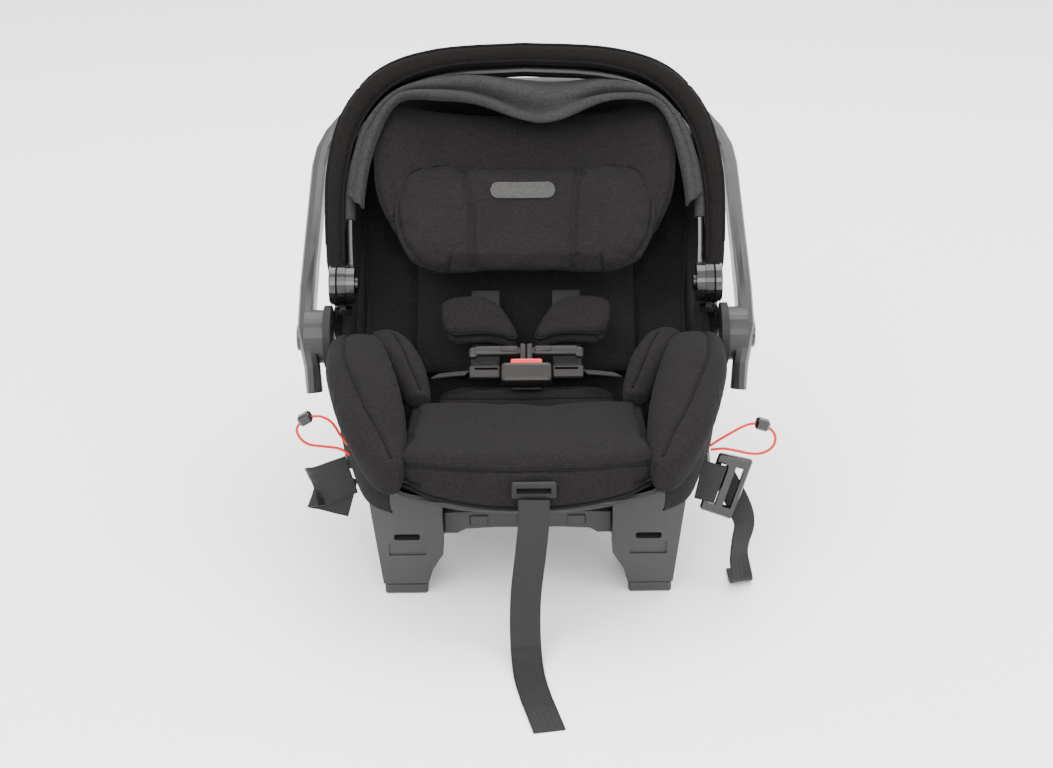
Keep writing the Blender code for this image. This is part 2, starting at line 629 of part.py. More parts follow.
def make_handle():
    right = handle_path()
    path = right + [((-place[0], *place[1:]), depth) for place, depth in reversed(right[:-1])]
    places = [Vector(place) for place, depth in path]
    rings = []
    for index, (place, depth) in enumerate(path):
        ahead = places[min(index + 1, len(places) - 1)] - places[max(index - 1, 0)]
        ahead.normalize()
        forward = Vector((0.0, 0.0, 1.0))
        forward = (forward - ahead * forward.dot(ahead)).normalized()
        outward = ahead.cross(forward)
        ring = []
        for step in range(12):
            angle = 2 * math.pi * step / 12
            wide = math.copysign(abs(math.cos(angle)) ** 0.6, math.cos(angle)) * depth
            thick = math.copysign(abs(math.sin(angle)) ** 0.6, math.sin(angle)) * ARM_THICK / 2
            ring.append(Vector(place) + forward * wide + outward * thick)
        rings.append(ring)
    handle = loft("carry_handle", rings, "handle_plastic")
    handle.matrix_world = HANDLE
    mount_face = SHELL_HALF_WIDTH + MOUNT_THICK
    for side in (-1, 1):
        boss = cylinder("boss", (side * (mount_face + GAP), 0, 0), (side * HANDLE_HALF_WIDTH, 0, 0), 0.026, sides=32)
        shaft = cylinder("shaft", (side * (mount_face - MOUNT_THICK + 0.001), 0, 0),
                         (side * HANDLE_HALF_WIDTH, 0, 0), SHAFT_RADIUS, sides=32)
        pocket = cylinder("pocket", (side * (HANDLE_HALF_WIDTH - 0.003), 0, 0),
                          (side * (HANDLE_HALF_WIDTH + 0.02), 0, 0), 0.0145, sides=32)
        for tool in (boss, shaft, pocket):
            tool.matrix_world = HANDLE
        join(handle, boss)
        join(handle, shaft)
        cut(handle, pocket)
        near = HANDLE_HALF_WIDTH + 0.0018
        button = cylinder(f"handle_button_{side_name(side)}", (side * near, 0, 0),
                          (side * (near + 0.0062), 0, 0), 0.0138, "black_plastic", 24)
        button.matrix_world = HANDLE
        soften(button, 0.001, 1, 60)


# Canopy ----------------------------------------------------------------------------------------------------
CANOPY = Matrix.Translation(CANOPY_PIVOT) @ turn_x(90.0 - CANOPY_LEAN)
ARCH_SHAPE = ((1.0, 0.0), (1.011, 0.262), (1.0, 0.480), (0.923, 0.720), (0.742, 0.895), (0.440, 0.978), (0.0, 1.0))
MIDDLE_LEAN = 45.0
VISOR_REACH = 0.2125


def arch(half, reach, steps=3, skip=0.0):
    """Points (across, up) of one canopy arch from left to right, left out below the height skip."""
    half_arch = spline_through([(half * a, reach * b, 0.0) for a, b in ARCH_SHAPE], steps)
    half_arch = [point for point in half_arch if point.y >= skip]
    whole = [Vector((-point.x, point.y, 0.0)) for point in half_arch]
    return whole + list(reversed(half_arch))[1:]


def arch_row(lean, half, reach, skip):
    turn = Matrix.Translation(CANOPY_PIVOT) @ turn_x(90.0 - lean)
    return [turn @ point for point in arch(half, reach, 2, skip)]


def make_canopy():
    rim = tube("canopy_rim", arch(RIM_HALF_WIDTH, CANOPY_REACH, 3, HUB_RADIUS + 0.002), RIM_RADIUS, "canopy_fabric")
    rim.matrix_world = CANOPY
    visor = tube("visor_bow", arch(VISOR_HALF_WIDTH, VISOR_REACH, 3, 0.009), BOW_RADIUS, "hub_plastic")
    visor.matrix_world = CANOPY
    bpy.context.view_layer.update()
    visor = settle(visor)
    middle = arch(COVER_HALF_WIDTH - 0.010, CANOPY_REACH + 0.007, 3, 0.062)
    bow = tube("middle_bow", middle, BOW_RADIUS, "hub_plastic")
    bow.matrix_world = Matrix.Translation(CANOPY_PIVOT) @ turn_x(90.0 - MIDDLE_LEAN)
    make_visor()
    half = COVER_HALF_WIDTH
    cover = [(37.0, half, 0.0), (41.5, half, 0.0005), (46.0, half, 0.001)]
    rows = [arch_row(lean, wide, CANOPY_REACH + 0.0145 + lift, 0.097) for lean, wide, lift in cover]
    sheet("canopy_cover_front", rows, 0.003, "canopy_fabric")
    cover = [(47.0, half, 0.002), (49.5, half - 0.003, 0.014), (52.0, half - 0.007, 0.028),
             (54.0, half - 0.012, 0.040)]
    rows = [arch_row(lean, wide, CANOPY_REACH + 0.0145 + lift, 0.097) for lean, wide, lift in cover]
    sheet("canopy_cover_rear", rows, 0.003, "canopy_fabric")
    for side in (-1, 1):
        make_hub(side, visor)


def make_visor():
    """The fabric band of the visor, folded in under the front rim."""
    upper = arch(VISOR_HALF_WIDTH - 0.005, VISOR_REACH - 0.006, 3, 0.095)
    lower = arch(VISOR_HALF_WIDTH - 0.013, VISOR_REACH - 0.040, 3, 0.095 * 0.80)
    count = min(len(upper), len(lower))
    spread = [index / (count - 1) for index in range(count)]
    top = [upper[round(t * (len(upper) - 1))] for t in spread]
    bottom = [lower[round(t * (len(lower) - 1))] for t in spread]
    rows = [[low + Vector((0, 0, 0.014)) for low in bottom], [(low + high) / 2 + Vector((0, 0, 0.012))
            for low, high in zip(bottom, top)], top]
    visor = sheet("visor_band", rows, 0.003, "visor_fabric")
    visor.matrix_world = CANOPY


def make_hub(side, visor):
    """Three stacked pieces on the canopy axis: outer disc, fixed core with its axle, inner disc of the visor."""
    name = side_name(side)

    def disc(label, near, far, radius, finish=None, bevel=0.0):
        piece = cylinder(label, (side * near, 0, 0), (side * far, 0, 0), radius, finish, 32)
        piece.matrix_world = CANOPY
        if bevel:
            soften(piece, bevel, 1, 60)
        return piece

    core_near = HUB_INNER + HUB_DISC + GAP
    outer_near = core_near + HUB_DISC + GAP
    disc(f"hub_outer_{name}", outer_near, outer_near + HUB_DISC, HUB_RADIUS, "hub_plastic", 0.0015)
    core = disc(f"hub_core_{name}", core_near, core_near + HUB_DISC, HUB_RADIUS, "black_plastic")
    join(core, disc("axle", HUB_INNER - 0.001, core_near + 0.002, 0.005))
    join(core, disc("cap", HUB_INNER - 0.0027, HUB_INNER - GAP, 0.008))
    join(visor, disc(f"hub_inner_{name}", HUB_INNER, HUB_INNER + HUB_DISC, HUB_RADIUS - 0.001))
    cut(visor, disc("inner_bore", HUB_INNER - 0.01, HUB_INNER + 0.02, 0.005 + GAP))
    near, far = sorted((side * (core_near + 0.001), side * (core_near + HUB_DISC - 0.001)))
    join(core, box("core_foot", (near, CANOPY_PIVOT.y - 0.008, 0.2140),
                   (far, CANOPY_PIVOT.y + 0.008, CANOPY_PIVOT.z - 0.015)))
    near, far = sorted((side * (HUB_INNER + 0.004), side * (SHELL_HALF_WIDTH - 0.0016)))
    join(core, box("canopy_bracket", (near, CANOPY_PIVOT.y - 0.011, 0.2115),
                   (far, CANOPY_PIVOT.y, 0.2175)))


# Release handle, spring and latch claws ------------------------------------------------------------------
def make_claw(name, rod):
    """A hook that closes under a lock rod."""
    shaft = claw_shaft(rod)
    reach = ROD_RADIUS + 0.0008
    nose = rod[1] - reach
    back = rod[0] + reach + 0.001
    outline = [(rod[0] - 0.006, nose - 0.005), (rod[0] - 0.006, nose), (back, nose), (back, shaft[1] + 0.002),
               *arc(shaft, 0.0075, 150.0, -60.0, 8), (back + 0.006, nose - 0.005)]
    claw = side_plate(f"latch_claw_{name}", outline, 0.0, CLAW_WIDTH, "steel", 0.0008)
    cut(claw, cylinder("claw_bore", (-0.02, *shaft), (0.02, *shaft), CLAW_SHAFT_RADIUS + GAP, sides=20))


def make_release():
    """The squeeze handle behind the head end, with its guide block and return spring."""
    out_far = -0.054
    out_near = -0.036
    handle = back_box("release_handle", (-0.048, 0.455, out_far), (0.048, 0.468, out_near), "handle_plastic",
                      0.004, 2)
    for side in (-1, 1):
        leg = back_box("release_leg", (side * 0.036 - 0.006, 0.420, out_far + 0.004),
                       (side * 0.036 + 0.006, 0.462, out_near - 0.004))
        join(handle, leg)
    guide = back_box("release_guide", (-0.056, 0.418, out_far), (0.056, 0.438, out_near + 0.002), "shell_plastic")
    for side in (-1, 1):
        hole = back_box("guide_hole", (side * 0.036 - 0.006 - SLIP, 0.40, out_far + 0.004 - SLIP),
                        (side * 0.036 + 0.006 + SLIP, 0.45, out_near - 0.004 + SLIP))
        cut(guide, hole)
    turns = 5
    steps = 10
    coil = []
    for step in range(turns * steps + 1):
        angle = 2 * math.pi * step / steps
        coil.append(back_point(0.0042 * math.cos(angle), 0.4400 + 0.0135 * step / (turns * steps),
                               (out_far + out_near) / 2 + 0.0042 * math.sin(angle)))
    tube("release_spring", coil, 0.0008, "steel", resolution=1)


# Harness ----------------------------------------------------------------------------------------------------
def make_harness():
    buckle = back_box("buckle_housing", (-BUCKLE_HALF, BUCKLE_LOW, BUCKLE_BACK),
                      (BUCKLE_HALF, BUCKLE_HIGH, BUCKLE_FRONT), "buckle_plastic", 0.004, 2)
    buckle = smooth(settle(buckle))
    button_half = 0.0150
    pocket = back_box("button_pocket", (-button_half - SLIP, BUCKLE_HIGH - 0.0085, BUCKLE_BACK + 0.0025),
                      (button_half + SLIP, BUCKLE_HIGH + 0.01, BUCKLE_FRONT - 0.0025))
    cut(buckle, pocket)
    back_box("buckle_button", (-button_half, BUCKLE_HIGH - 0.0030, BUCKLE_BACK + 0.0025 + SLIP),
             (button_half, BUCKLE_HIGH + 0.0045, BUCKLE_FRONT - 0.0025 - SLIP), "red_plastic", 0.002, 2)
    for side in (-1, 1):
        make_harness_side(side)
    ribbon("crotch_strap", [(0, 0.0985, 0.1665), (0, 0.0920, 0.1690), (0, 0.0845, 0.1715)], (1, 0, 0),
           WEB_WIDTH, WEB_THICK, "webbing", 2)


def make_harness_side(side):
    name = side_name(side)
    middle = side * 0.039
    low, high = sorted((side * 0.006, side * 0.083))
    back_box(f"chest_pad_{name}", (low, 0.236, 0.0335), (high, 0.284, 0.0495), "cover_fabric", 0.006, 2)
    low, high = sorted((side * 0.0003, side * 0.055))
    clip = back_box(f"chest_clip_{name}", (low, CLIP_LOW, CLIP_BACK), (high, CLIP_HIGH, CLIP_FRONT),
                    "buckle_plastic", 0.0025, 1)
    window_low, window_high = sorted((side * 0.0075, side * 0.0245))
    cut(clip, back_box("clip_window", (window_low, CLIP_LOW + 0.0045, CLIP_FRONT - 0.003),
                       (window_high, CLIP_HIGH - 0.0045, CLIP_FRONT + 0.01)))
    strap = [(0.298, 0.0305), (0.268, 0.0300), (0.244, 0.0310), (0.2255, 0.0420), (0.2130, 0.0475),
             (0.2055, 0.0550)]
    ribbon(f"shoulder_strap_{name}", [back_point(middle, along, out) for along, out in strap], (1, 0, 0),
           WEB_WIDTH, WEB_THICK, "webbing", 3)
    near = side * (BUCKLE_HALF + 0.0006)
    far = side * (BUCKLE_HALF + 0.0295)
    tongue = back_box(f"buckle_tongue_{name}", (min(near, far), 0.1890, 0.0660), (max(near, far), 0.2015, 0.0700),
                      "buckle_plastic", 0.001, 1)
    inner = middle - side * 0.0125
    outer = middle + side * 0.0095
    cut(tongue, back_box("tongue_slot", (min(inner, outer), 0.1970, 0.05), (max(inner, outer), 0.1992, 0.09)))
    lap = [(side * 0.0555, 0.0915, 0.1850), (side * 0.0700, 0.0935, 0.1830), (side * 0.0865, 0.0975, 0.1795)]
    ribbon(f"lap_strap_{name}", lap, (0, 1, -0.25), WEB_WIDTH - 0.003, WEB_THICK, "webbing", 2)


def make_adjuster():
    """The harness adjuster under the front of the seat, its slot bezel and the free strap."""
    box("adjuster_body", (-0.020, -0.046, 0.1215), (0.020, -0.012, 0.1265), "steel", 0.001, 1)
    box("adjuster_lever", (-0.012, -0.044, 0.1273), (0.012, -0.016, 0.1313), "black_plastic", 0.001, 1)
    middle = ADJUSTER_TAIL[0][0]
    bezel = box("strap_bezel", (middle - 0.0195, PAD_FRONT - 0.0050, 0.1420),
                (middle + 0.0195, PAD_FRONT - GAP, 0.1575), "black_plastic", 0.002, 2)
    cut(bezel, box("bezel_slot", (middle - 0.0150, PAD_FRONT - 0.02, 0.1475),
                   (middle + 0.0150, PAD_FRONT + 0.01, 0.1525)))
    ribbon("adjuster_strap", ADJUSTER_TAIL, (1, 0, 0), WEB_WIDTH, WEB_THICK, "webbing", 4)


# Soft goods -------------------------------------------------------------------------------------------------
def make_seat_soft():
    crest = PAD_CREST
    outline = [(PAD_FRONT, 0.124), (PAD_FRONT, crest - 0.012), (PAD_FRONT + 0.004, crest - 0.004),
               (PAD_FRONT + 0.012, crest), (0.0, crest - 0.001), (PAD_BACK, crest - 0.004), (PAD_BACK, 0.135),
               (PAD_FRONT + 0.035, 0.147), (PAD_FRONT + 0.015, 0.147), (PAD_FRONT + 0.013, 0.124)]
    smooth(side_plate("seat_pad", outline, 0.0, 2 * PAD_HALF_WIDTH, "cover_fabric"))
    front = PAD_BACK + 0.003
    insert = [(front, 0.133), (front, crest - 0.002), (front + 0.008, crest + 0.001), (0.105, 0.1600),
              (0.147, 0.1480), (0.147, 0.133)]
    side_plate("insert_seat", insert, 0.0, 0.176, "cover_fabric", 0.004)
    back_box("back_pad", (-0.116, 0.221, -0.0115), (0.116, 0.500, -0.0012), "cover_fabric", 0.004, 2)
    for side in (-1, 1):
        name = side_name(side)
        low, high = sorted((side * 0.092, side * 0.127))
        smooth(box(f"insert_bolster_{name}", (low, front, 0.171), (high, 0.160, 0.205), "cover_fabric", 0.012, 3))
        make_side_bolster(side)


def make_side_bolster(side):
    """The padded roll on the rim, higher toward the handle."""
    inner = PAD_HALF_WIDTH + 0.0015
    stations = [(-0.052, 0.1475, 0.1660, inner, 0.150), (-0.030, 0.1535, 0.1800, inner, 0.162),
                (0.010, 0.1660, 0.1990, 0.1290, 0.177), (0.050, 0.1770, 0.2090, 0.1310, 0.185),
                (0.095, 0.1880, 0.2130, 0.1320, 0.1870), (0.125, 0.1950, 0.2140, 0.1340, 0.1865),
                (0.138, 0.1990, 0.2100, 0.1400, 0.1840)]
    rings = []
    for y, low, high, near, far in stations:
        ring = []
        for step in range(12):
            angle = 2 * math.pi * step / 12
            across = math.copysign(abs(math.cos(angle)) ** 0.7, math.cos(angle)) * (far - near) / 2
            rise = math.copysign(abs(math.sin(angle)) ** 0.7, math.sin(angle)) * (high - low) / 2
            ring.append(Vector((side * ((near + far) / 2 + across), y, (low + high) / 2 + rise)))
        rings.append(ring)
    loft(f"side_bolster_{side_name(side)}", rings, "cover_fabric")


def headrest_piece(name, half, back, front, wall, low, high, finish, radius):
    """A U section, open to the front, run along the seat back."""
    outline = [(-half, front), (-half, back), (half, back), (half, front), (half - wall[0], front),
               (half - wall[0], back + wall[1]), (-half + wall[0], back + wall[1]), (-half + wall[0], front)]
    place = BACK @ Matrix.Translation((0, (low + high) / 2, 0)) @ turn_x(90.0)
    return smooth(plate(name, outline, high - low, finish, radius, 2, turn=place))


def make_headrest():
    wall = WING_WALL
    headrest_piece("headrest_shell", HEADREST_HALF, HEADREST_BACK, WING_FRONT, (wall, wall),
                   HEADREST_LOW, HEADREST_HIGH, "shell_plastic", 0.0012)
    pad_back = HEADREST_BACK + wall + GAP
    headrest_piece("headrest_pad", HEADREST_HALF - wall - GAP, pad_back, WING_FRONT + 0.002, (0.017, 0.0115),
                   HEADREST_LOW + 0.003, HEADREST_HIGH + 0.004, "cover_fabric", 0.004)
    pillow_back = pad_back + 0.0115 + GAP
    pillow = back_box("head_pillow", (-0.1245, 0.297, pillow_back), (0.1245, 0.420, 0.0740), "cover_fabric", 0.010,
                      3)
    smooth(pillow)


# Assembly ---------------------------------------------------------------------------------------------------
CORDS = ("adjuster_strap", "anchor_belt_tail", "pull_cord_left", "pull_cord_right", "cord_lock_left",
         "cord_lock_right")


def centre_on_floor():
    """Shift everything so that the object without its free cords stands on the origin."""
    depsgraph = bpy.context.evaluated_depsgraph_get()
    corners = []
    for obj in PARTS.objects:
        if obj.name not in CORDS:
            solid = obj.evaluated_get(depsgraph)
            mesh = solid.to_mesh()
            corners += [solid.matrix_world @ vertex.co for vertex in mesh.vertices]
            solid.to_mesh_clear()
    low = [min(corner[axis] for corner in corners) for axis in range(3)]
    high = [max(corner[axis] for corner in corners) for axis in range(3)]
    shift = Matrix.Translation((-(low[0] + high[0]) / 2, -(low[1] + high[1]) / 2, -low[2]))
    for obj in list(PARTS.objects) + list(CUTTERS.objects):
        obj.matrix_world = shift @ obj.matrix_world


make_base()
make_anchor_belts()
make_pull_cords()
make_shell()
make_handle()
make_canopy()
make_claw("front", FRONT_ROD)
make_claw("rear", REAR_ROD)
make_release()
make_harness()
make_adjuster()
make_seat_soft()
make_headrest()
bpy.context.view_layer.update()
centre_on_floor()
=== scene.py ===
"""An infant car seat on its base: the visual model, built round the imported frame."""

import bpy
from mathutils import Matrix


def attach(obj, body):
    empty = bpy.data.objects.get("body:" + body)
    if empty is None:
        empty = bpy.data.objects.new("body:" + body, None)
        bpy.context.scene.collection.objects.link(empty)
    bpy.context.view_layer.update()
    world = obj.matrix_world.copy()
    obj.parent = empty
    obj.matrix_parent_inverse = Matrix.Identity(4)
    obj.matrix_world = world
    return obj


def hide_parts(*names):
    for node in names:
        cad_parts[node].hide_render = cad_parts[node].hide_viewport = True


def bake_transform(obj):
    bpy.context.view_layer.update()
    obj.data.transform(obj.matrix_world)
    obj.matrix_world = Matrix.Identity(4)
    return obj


bl_info = {
    "name": "Infant Car Seat",
    "version": (1, 0, 0),
    "blender": (4, 5, 0),
    "location": "3D View > Sidebar > Car Seat",
    "description": "Builds the covers, pads, harness, canopy and finishes of an infant car seat",
    "category": "Object",
}

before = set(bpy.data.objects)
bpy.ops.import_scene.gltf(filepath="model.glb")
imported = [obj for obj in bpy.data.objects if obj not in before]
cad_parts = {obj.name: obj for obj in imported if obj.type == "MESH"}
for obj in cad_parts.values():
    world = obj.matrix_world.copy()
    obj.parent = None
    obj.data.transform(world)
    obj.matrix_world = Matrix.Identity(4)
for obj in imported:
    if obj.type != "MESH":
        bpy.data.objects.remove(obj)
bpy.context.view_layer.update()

import math

import bmesh
import bpy
from bpy.props import FloatProperty, FloatVectorProperty, PointerProperty
from mathutils import Matrix, Vector
from mathutils.bvhtree import BVHTree
from mathutils.kdtree import KDTree

DRAWN_Y = -0.19218            # from drawn points to the frame; drawn y is 0 near the seat pan's front
RECLINE = 45.0                # lean of the seat back, in degrees
CANOPY_PIVOT = Vector((0.0, 0.190, 0.2395))
CANOPY_LEAN = 29.0            # lean of the rim when the canopy is folded back
CANOPY_REACH = 0.229          # pivot to the top of the rim
RIM_HALF = 0.1835
VISOR_HALF = 0.169
VISOR_REACH = 0.2125
CANOPY_CLOTH = 0.0022         # thickness of the doubled canopy and visor cloth
BELT_WIDTH = 0.038
BELT_THICKNESS = 0.0018
TAIL_WIDTH = 0.022
TAIL_THICKNESS = 0.0013
CORD_RADIUS = 0.00125
ARCH_SHAPE = ((1.0, 0.0), (1.011, 0.262), (1.0, 0.480), (0.923, 0.720),
              (0.742, 0.895), (0.440, 0.978), (0.0, 1.0))
SIDES = ((-1, "left"), (1, "right"))
DOWN = Vector((0.0, 0.0, -1.0))
BACK = Matrix.Rotation(math.radians(RECLINE), 4, "X")
OUTWARD = BACK.to_3x3() @ Vector((0.0, 0.0, 1.0))
TO_FRAME = Matrix.Translation((0.0, DRAWN_Y, 0.0))

LENS = 69.8
CAMERA_PLACE = Vector((0.0, -1.8787, 0.8918))
CAMERA_AIM = Vector((0.0, 0.0128, 0.1276))
CAMERA_ROLL = -0.5
ROOM_LIGHT = 2.3
LAMP_AIM = Vector((0.0, 0.0, 0.15))
LAMPS = (("key", (-1.3, -1.9, 2.3), 1.5, 60.0), ("fill", (1.8, -1.5, 1.6), 1.8, 34.0),
         ("front", (0.0, -2.6, 1.5), 1.6, 52.0), ("top", (0.2, 0.8, 2.6), 2.4, 90.0))


class SeatSizes(bpy.types.PropertyGroup):
    """Sizes that change how the soft parts of the seat look."""
    pad_rise: FloatProperty(
        name="Pad rise", description="How far the filling may push a pad's cover outwards",
        default=0.006, min=0.0, max=0.012, unit="LENGTH", subtype="DISTANCE")
    seam_depth: FloatProperty(
        name="Seam depth", description="How far a sewn seam pulls the cover in",
        default=0.0022, min=0.0, max=0.005, unit="LENGTH", subtype="DISTANCE")
    stitch_pitch: FloatProperty(
        name="Stitch pitch", description="Distance from one stitch to the next",
        default=0.0042, min=0.002, max=0.01, unit="LENGTH", subtype="DISTANCE")
    webbing_width: FloatProperty(
        name="Webbing width", description="Width of the harness webbing",
        default=0.027, min=0.02, max=0.04, unit="LENGTH", subtype="DISTANCE")
    webbing_thickness: FloatProperty(
        name="Webbing thickness", description="Thickness of the harness webbing",
        default=0.0014, min=0.001, max=0.002, unit="LENGTH", subtype="DISTANCE")
    weave_pitch: FloatProperty(
        name="Weave pitch", description="Distance from one thread of the cover fabric to the next",
        default=0.0013, min=0.0005, max=0.003, unit="LENGTH", subtype="DISTANCE")


def colour_property(name, description, red, green, blue):
    return FloatVectorProperty(name=name, description=description, default=(red, green, blue),
                               min=0.0, max=1.0, size=3, subtype="COLOR")


class SeatColours(bpy.types.PropertyGroup):
    """Colours of the seat's fabrics and plastics."""
    cover: colour_property("Cover fabric", "Charcoal fabric of the pads", 0.0088, 0.0080, 0.0080)
    rim: colour_property("Canopy fabric", "Fabric of the canopy and its rim", 0.0064, 0.0057, 0.0053)
    visor: colour_property("Visor fabric", "Lighter fabric of the visor band", 0.0230, 0.0222, 0.0226)
    webbing: colour_property("Webbing", "Harness webbing", 0.0085, 0.0085, 0.0090)
    handle: colour_property("Handle plastic", "Carry handle", 0.0170, 0.0172, 0.0183)
    base: colour_property("Base plastic", "Base and recline foot", 0.0255, 0.0255, 0.0248)
    dark: colour_property("Dark plastic", "Shell, hubs and fittings", 0.0050, 0.0050, 0.0054)
    buckle: colour_property("Buckle plastic", "Buckle, clip and tongues", 0.0095, 0.0082, 0.0073)
    red: colour_property("Red", "Buckle button and release cords", 0.56, 0.005, 0.005)


class Signal:
    """A shader socket that takes part in arithmetic: each operator adds one Math node."""

    def __init__(self, finish, socket):
        self.finish = finish
        self.socket = socket

    def maths(self, operation, *values):
        return self.finish.node("ShaderNodeMath", {"operation": operation}, dict(enumerate(values)))

    def __add__(self, other):
        return self.maths("ADD", self, other)

    __radd__ = __add__

    def __mul__(self, other):
        return self.maths("MULTIPLY", self, other)

    def __sub__(self, other):
        return self.maths("SUBTRACT", self, other)

    def __rsub__(self, other):
        return self.maths("SUBTRACT", other, self)

    def __truediv__(self, other):
        return self.maths("DIVIDE", self, other)

    def __pow__(self, other):
        return self.maths("POWER", self, other)

    def __abs__(self):
        return self.maths("ABSOLUTE", self)

    def sine(self):
        return self.maths("SINE", self)

    def fraction(self):
        return self.maths("FRACT", self)

    def held(self):
        return self.maths("MINIMUM", self.maths("MAXIMUM", self, 0.0), 1.0)


class Finish:
    """One procedural material: its shader and the nodes that feed it."""

    def __init__(self, name, roughness=0.6, **constants):
        self.material = bpy.data.materials.new(name)
        self.material.use_nodes = True
        self.tree = self.material.node_tree
        self.shader = self.tree.nodes["Principled BSDF"]
        self.shader.inputs["Roughness"].default_value = roughness
        for socket, value in constants.items():
            self.shader.inputs[socket.replace("_", " ")].default_value = value

    def feed(self, socket, value):
        if isinstance(value, Signal):
            self.tree.links.new(value.socket, socket)
        elif isinstance(value, (tuple, list)) and len(value) == 3 and socket.type == "RGBA":
            socket.default_value = (*value, 1.0)
        else:
            socket.default_value = value

    def node(self, kind, settings=None, inputs=None, output=0):
        made = self.tree.nodes.new(kind)
        for key, value in (settings or {}).items():
            setattr(made, key, value)
        for key, value in (inputs or {}).items():
            self.feed(made.inputs[key], value)
        return Signal(self, made.outputs[output])

    def place(self, stretch=(1.0, 1.0, 1.0), turn=(0.0, 0.0, 0.0)):
        """The point on the piece, in metres, stretched and turned for a pattern."""
        point = self.node("ShaderNodeTexCoord", output="Object")
        return self.node("ShaderNodeMapping", {"vector_type": "POINT"},
                         {"Vector": point, "Rotation": turn, "Scale": stretch})

    def parts(self, vector):
        return [self.node("ShaderNodeSeparateXYZ", None, {0: vector}, axis) for axis in range(3)]

    def noise(self, scale, detail=2.0, stretch=(1.0, 1.0, 1.0), turn=(0.0, 0.0, 0.0)):
        return self.node("ShaderNodeTexNoise", None,
                         {"Vector": self.place(stretch, turn), "Scale": scale, "Detail": detail})

    def mix(self, factor, first, second):
        return self.node("ShaderNodeMix", {"data_type": "RGBA"}, {0: factor, 6: first, 7: second}, 2)

    def colour(self, value):
        self.feed(self.shader.inputs["Base Color"], value)

    def roughness(self, value):
        self.feed(self.shader.inputs["Roughness"], value)

    def bump(self, height, distance, strength=1.0):
        normal = self.node("ShaderNodeBump", None, {"Strength": strength, "Distance": distance,
                                                    "Height": height})
        self.feed(self.shader.inputs["Normal"], normal)

    def weave(self, pitch, turn):
        """Height of a plain weave from 0 to 1, laid on whichever plane the surface faces."""
        x, y, z = ((axis * (2.0 * math.pi / pitch)).sine() for axis in self.parts(self.place(turn=turn)))
        facing = self.node("ShaderNodeTexCoord", output="Normal")
        facing = self.node("ShaderNodeMapping", {"vector_type": "NORMAL"},
                           {"Vector": facing, "Rotation": turn})
        front, side, top = (abs(axis) ** 3.0 for axis in self.parts(facing))
        return (y * z * front + x * z * side + x * y * top) / (front + side + top + 0.001) * 0.5 + 0.5


def shade(colour, factor):
    return tuple(min(channel * factor, 1.0) for channel in colour)


def cloth_finish(name, colour, pitch, fleck=1.7, bump=0.00022, sheen=0.012, slub=0.5):
    """Melange fabric: weave, thread slubs, heathered colour and slow fading."""
    finish = Finish(name, 0.92, Sheen_Weight=sheen, Sheen_Roughness=0.45, Specular_IOR_Level=0.06)
    weave = finish.weave(pitch, (math.radians(-RECLINE), 0.0, 0.0))
    heather = finish.noise(950.0, 3.0, (1.0, 0.35, 0.35))
    threads = finish.noise(420.0, 2.0, (0.12, 1.0, 1.0))
    fading = finish.noise(14.0, 3.0)
    tone = ((heather - 0.5) * 2.6 + 0.45 + (threads - 0.5) * slub).held()
    body = finish.mix(tone, shade(colour, 0.62), shade(colour, fleck))
    worn = finish.mix(((fading - 0.42) * 2.2).held(), shade(colour, 0.88), shade(colour, 1.22))
    finish.colour(finish.mix(0.42, body, worn))
    finish.roughness(0.82 + heather * 0.16)
    finish.bump(weave * 0.7 + heather * 0.5, bump, 0.8)
    return finish.material


def moulded_finish(name, colour, roughness, grain=0.0005, bump=0.00006, coat=0.0, spread=0.10):
    """Moulded plastic: fine spark texture, faint flow marks and handling dulling."""
    finish = Finish(name, roughness, Coat_Weight=coat, Coat_Roughness=0.18, Specular_IOR_Level=0.28)
    texture = finish.noise(1.0 / grain, 2.0)
    flow = finish.noise(9.0, 3.0, (1.0, 1.0, 2.5))
    dulled = finish.noise(55.0, 4.0)
    tone = ((flow - 0.5) * 2.0 + 0.5).held()
    finish.colour(finish.mix(tone, shade(colour, 1.0 - spread), shade(colour, 1.0 + spread)))
    finish.roughness((roughness + (dulled - 0.5) * 0.16 + (texture - 0.5) * 0.08).held())
    finish.bump(texture, bump, 0.7)
    return finish.material


def steel_finish(name):
    finish = Finish(name, 0.3, Metallic=1.0)
    brushed = finish.noise(900.0, 2.0, (0.05, 1.0, 1.0))
    finish.colour(finish.mix(brushed, (0.40, 0.40, 0.41), (0.58, 0.58, 0.59)))
    finish.roughness(0.22 + brushed * 0.2)
    finish.bump(brushed, 0.00003, 0.5)
    return finish.material


def webbing_finish(name, colour, width, chevron=0.0052):
    """Woven strap read from its own UV map, in metres: chevron ribs between two plain selvedges."""
    finish = Finish(name, 0.62, Sheen_Weight=0.03, Sheen_Roughness=0.35, Specular_IOR_Level=0.2)
    across, along, _ = finish.parts(finish.node("ShaderNodeTexCoord", output="UV"))
    zigzag = abs((across / chevron).fraction() - 0.5) * chevron
    ribs = ((along + zigzag * 1.4) * (2.0 * math.pi / 0.0019)).sine() * 0.5 + 0.5
    selvedge = ((abs(across - width / 2.0) - width * 0.43) * 1800.0).held()
    yarn = finish.noise(1500.0, 2.0)
    tone = (ribs * 0.75 + yarn * 0.5 - selvedge * 0.35).held()
    finish.colour(finish.mix(tone, shade(colour, 0.62), shade(colour, 1.85)))
    finish.roughness(0.5 + yarn * 0.25)
    finish.bump(ribs * (1.0 - selvedge) + selvedge * 0.6 + yarn * 0.2, 0.00028, 0.9)
    return finish.material


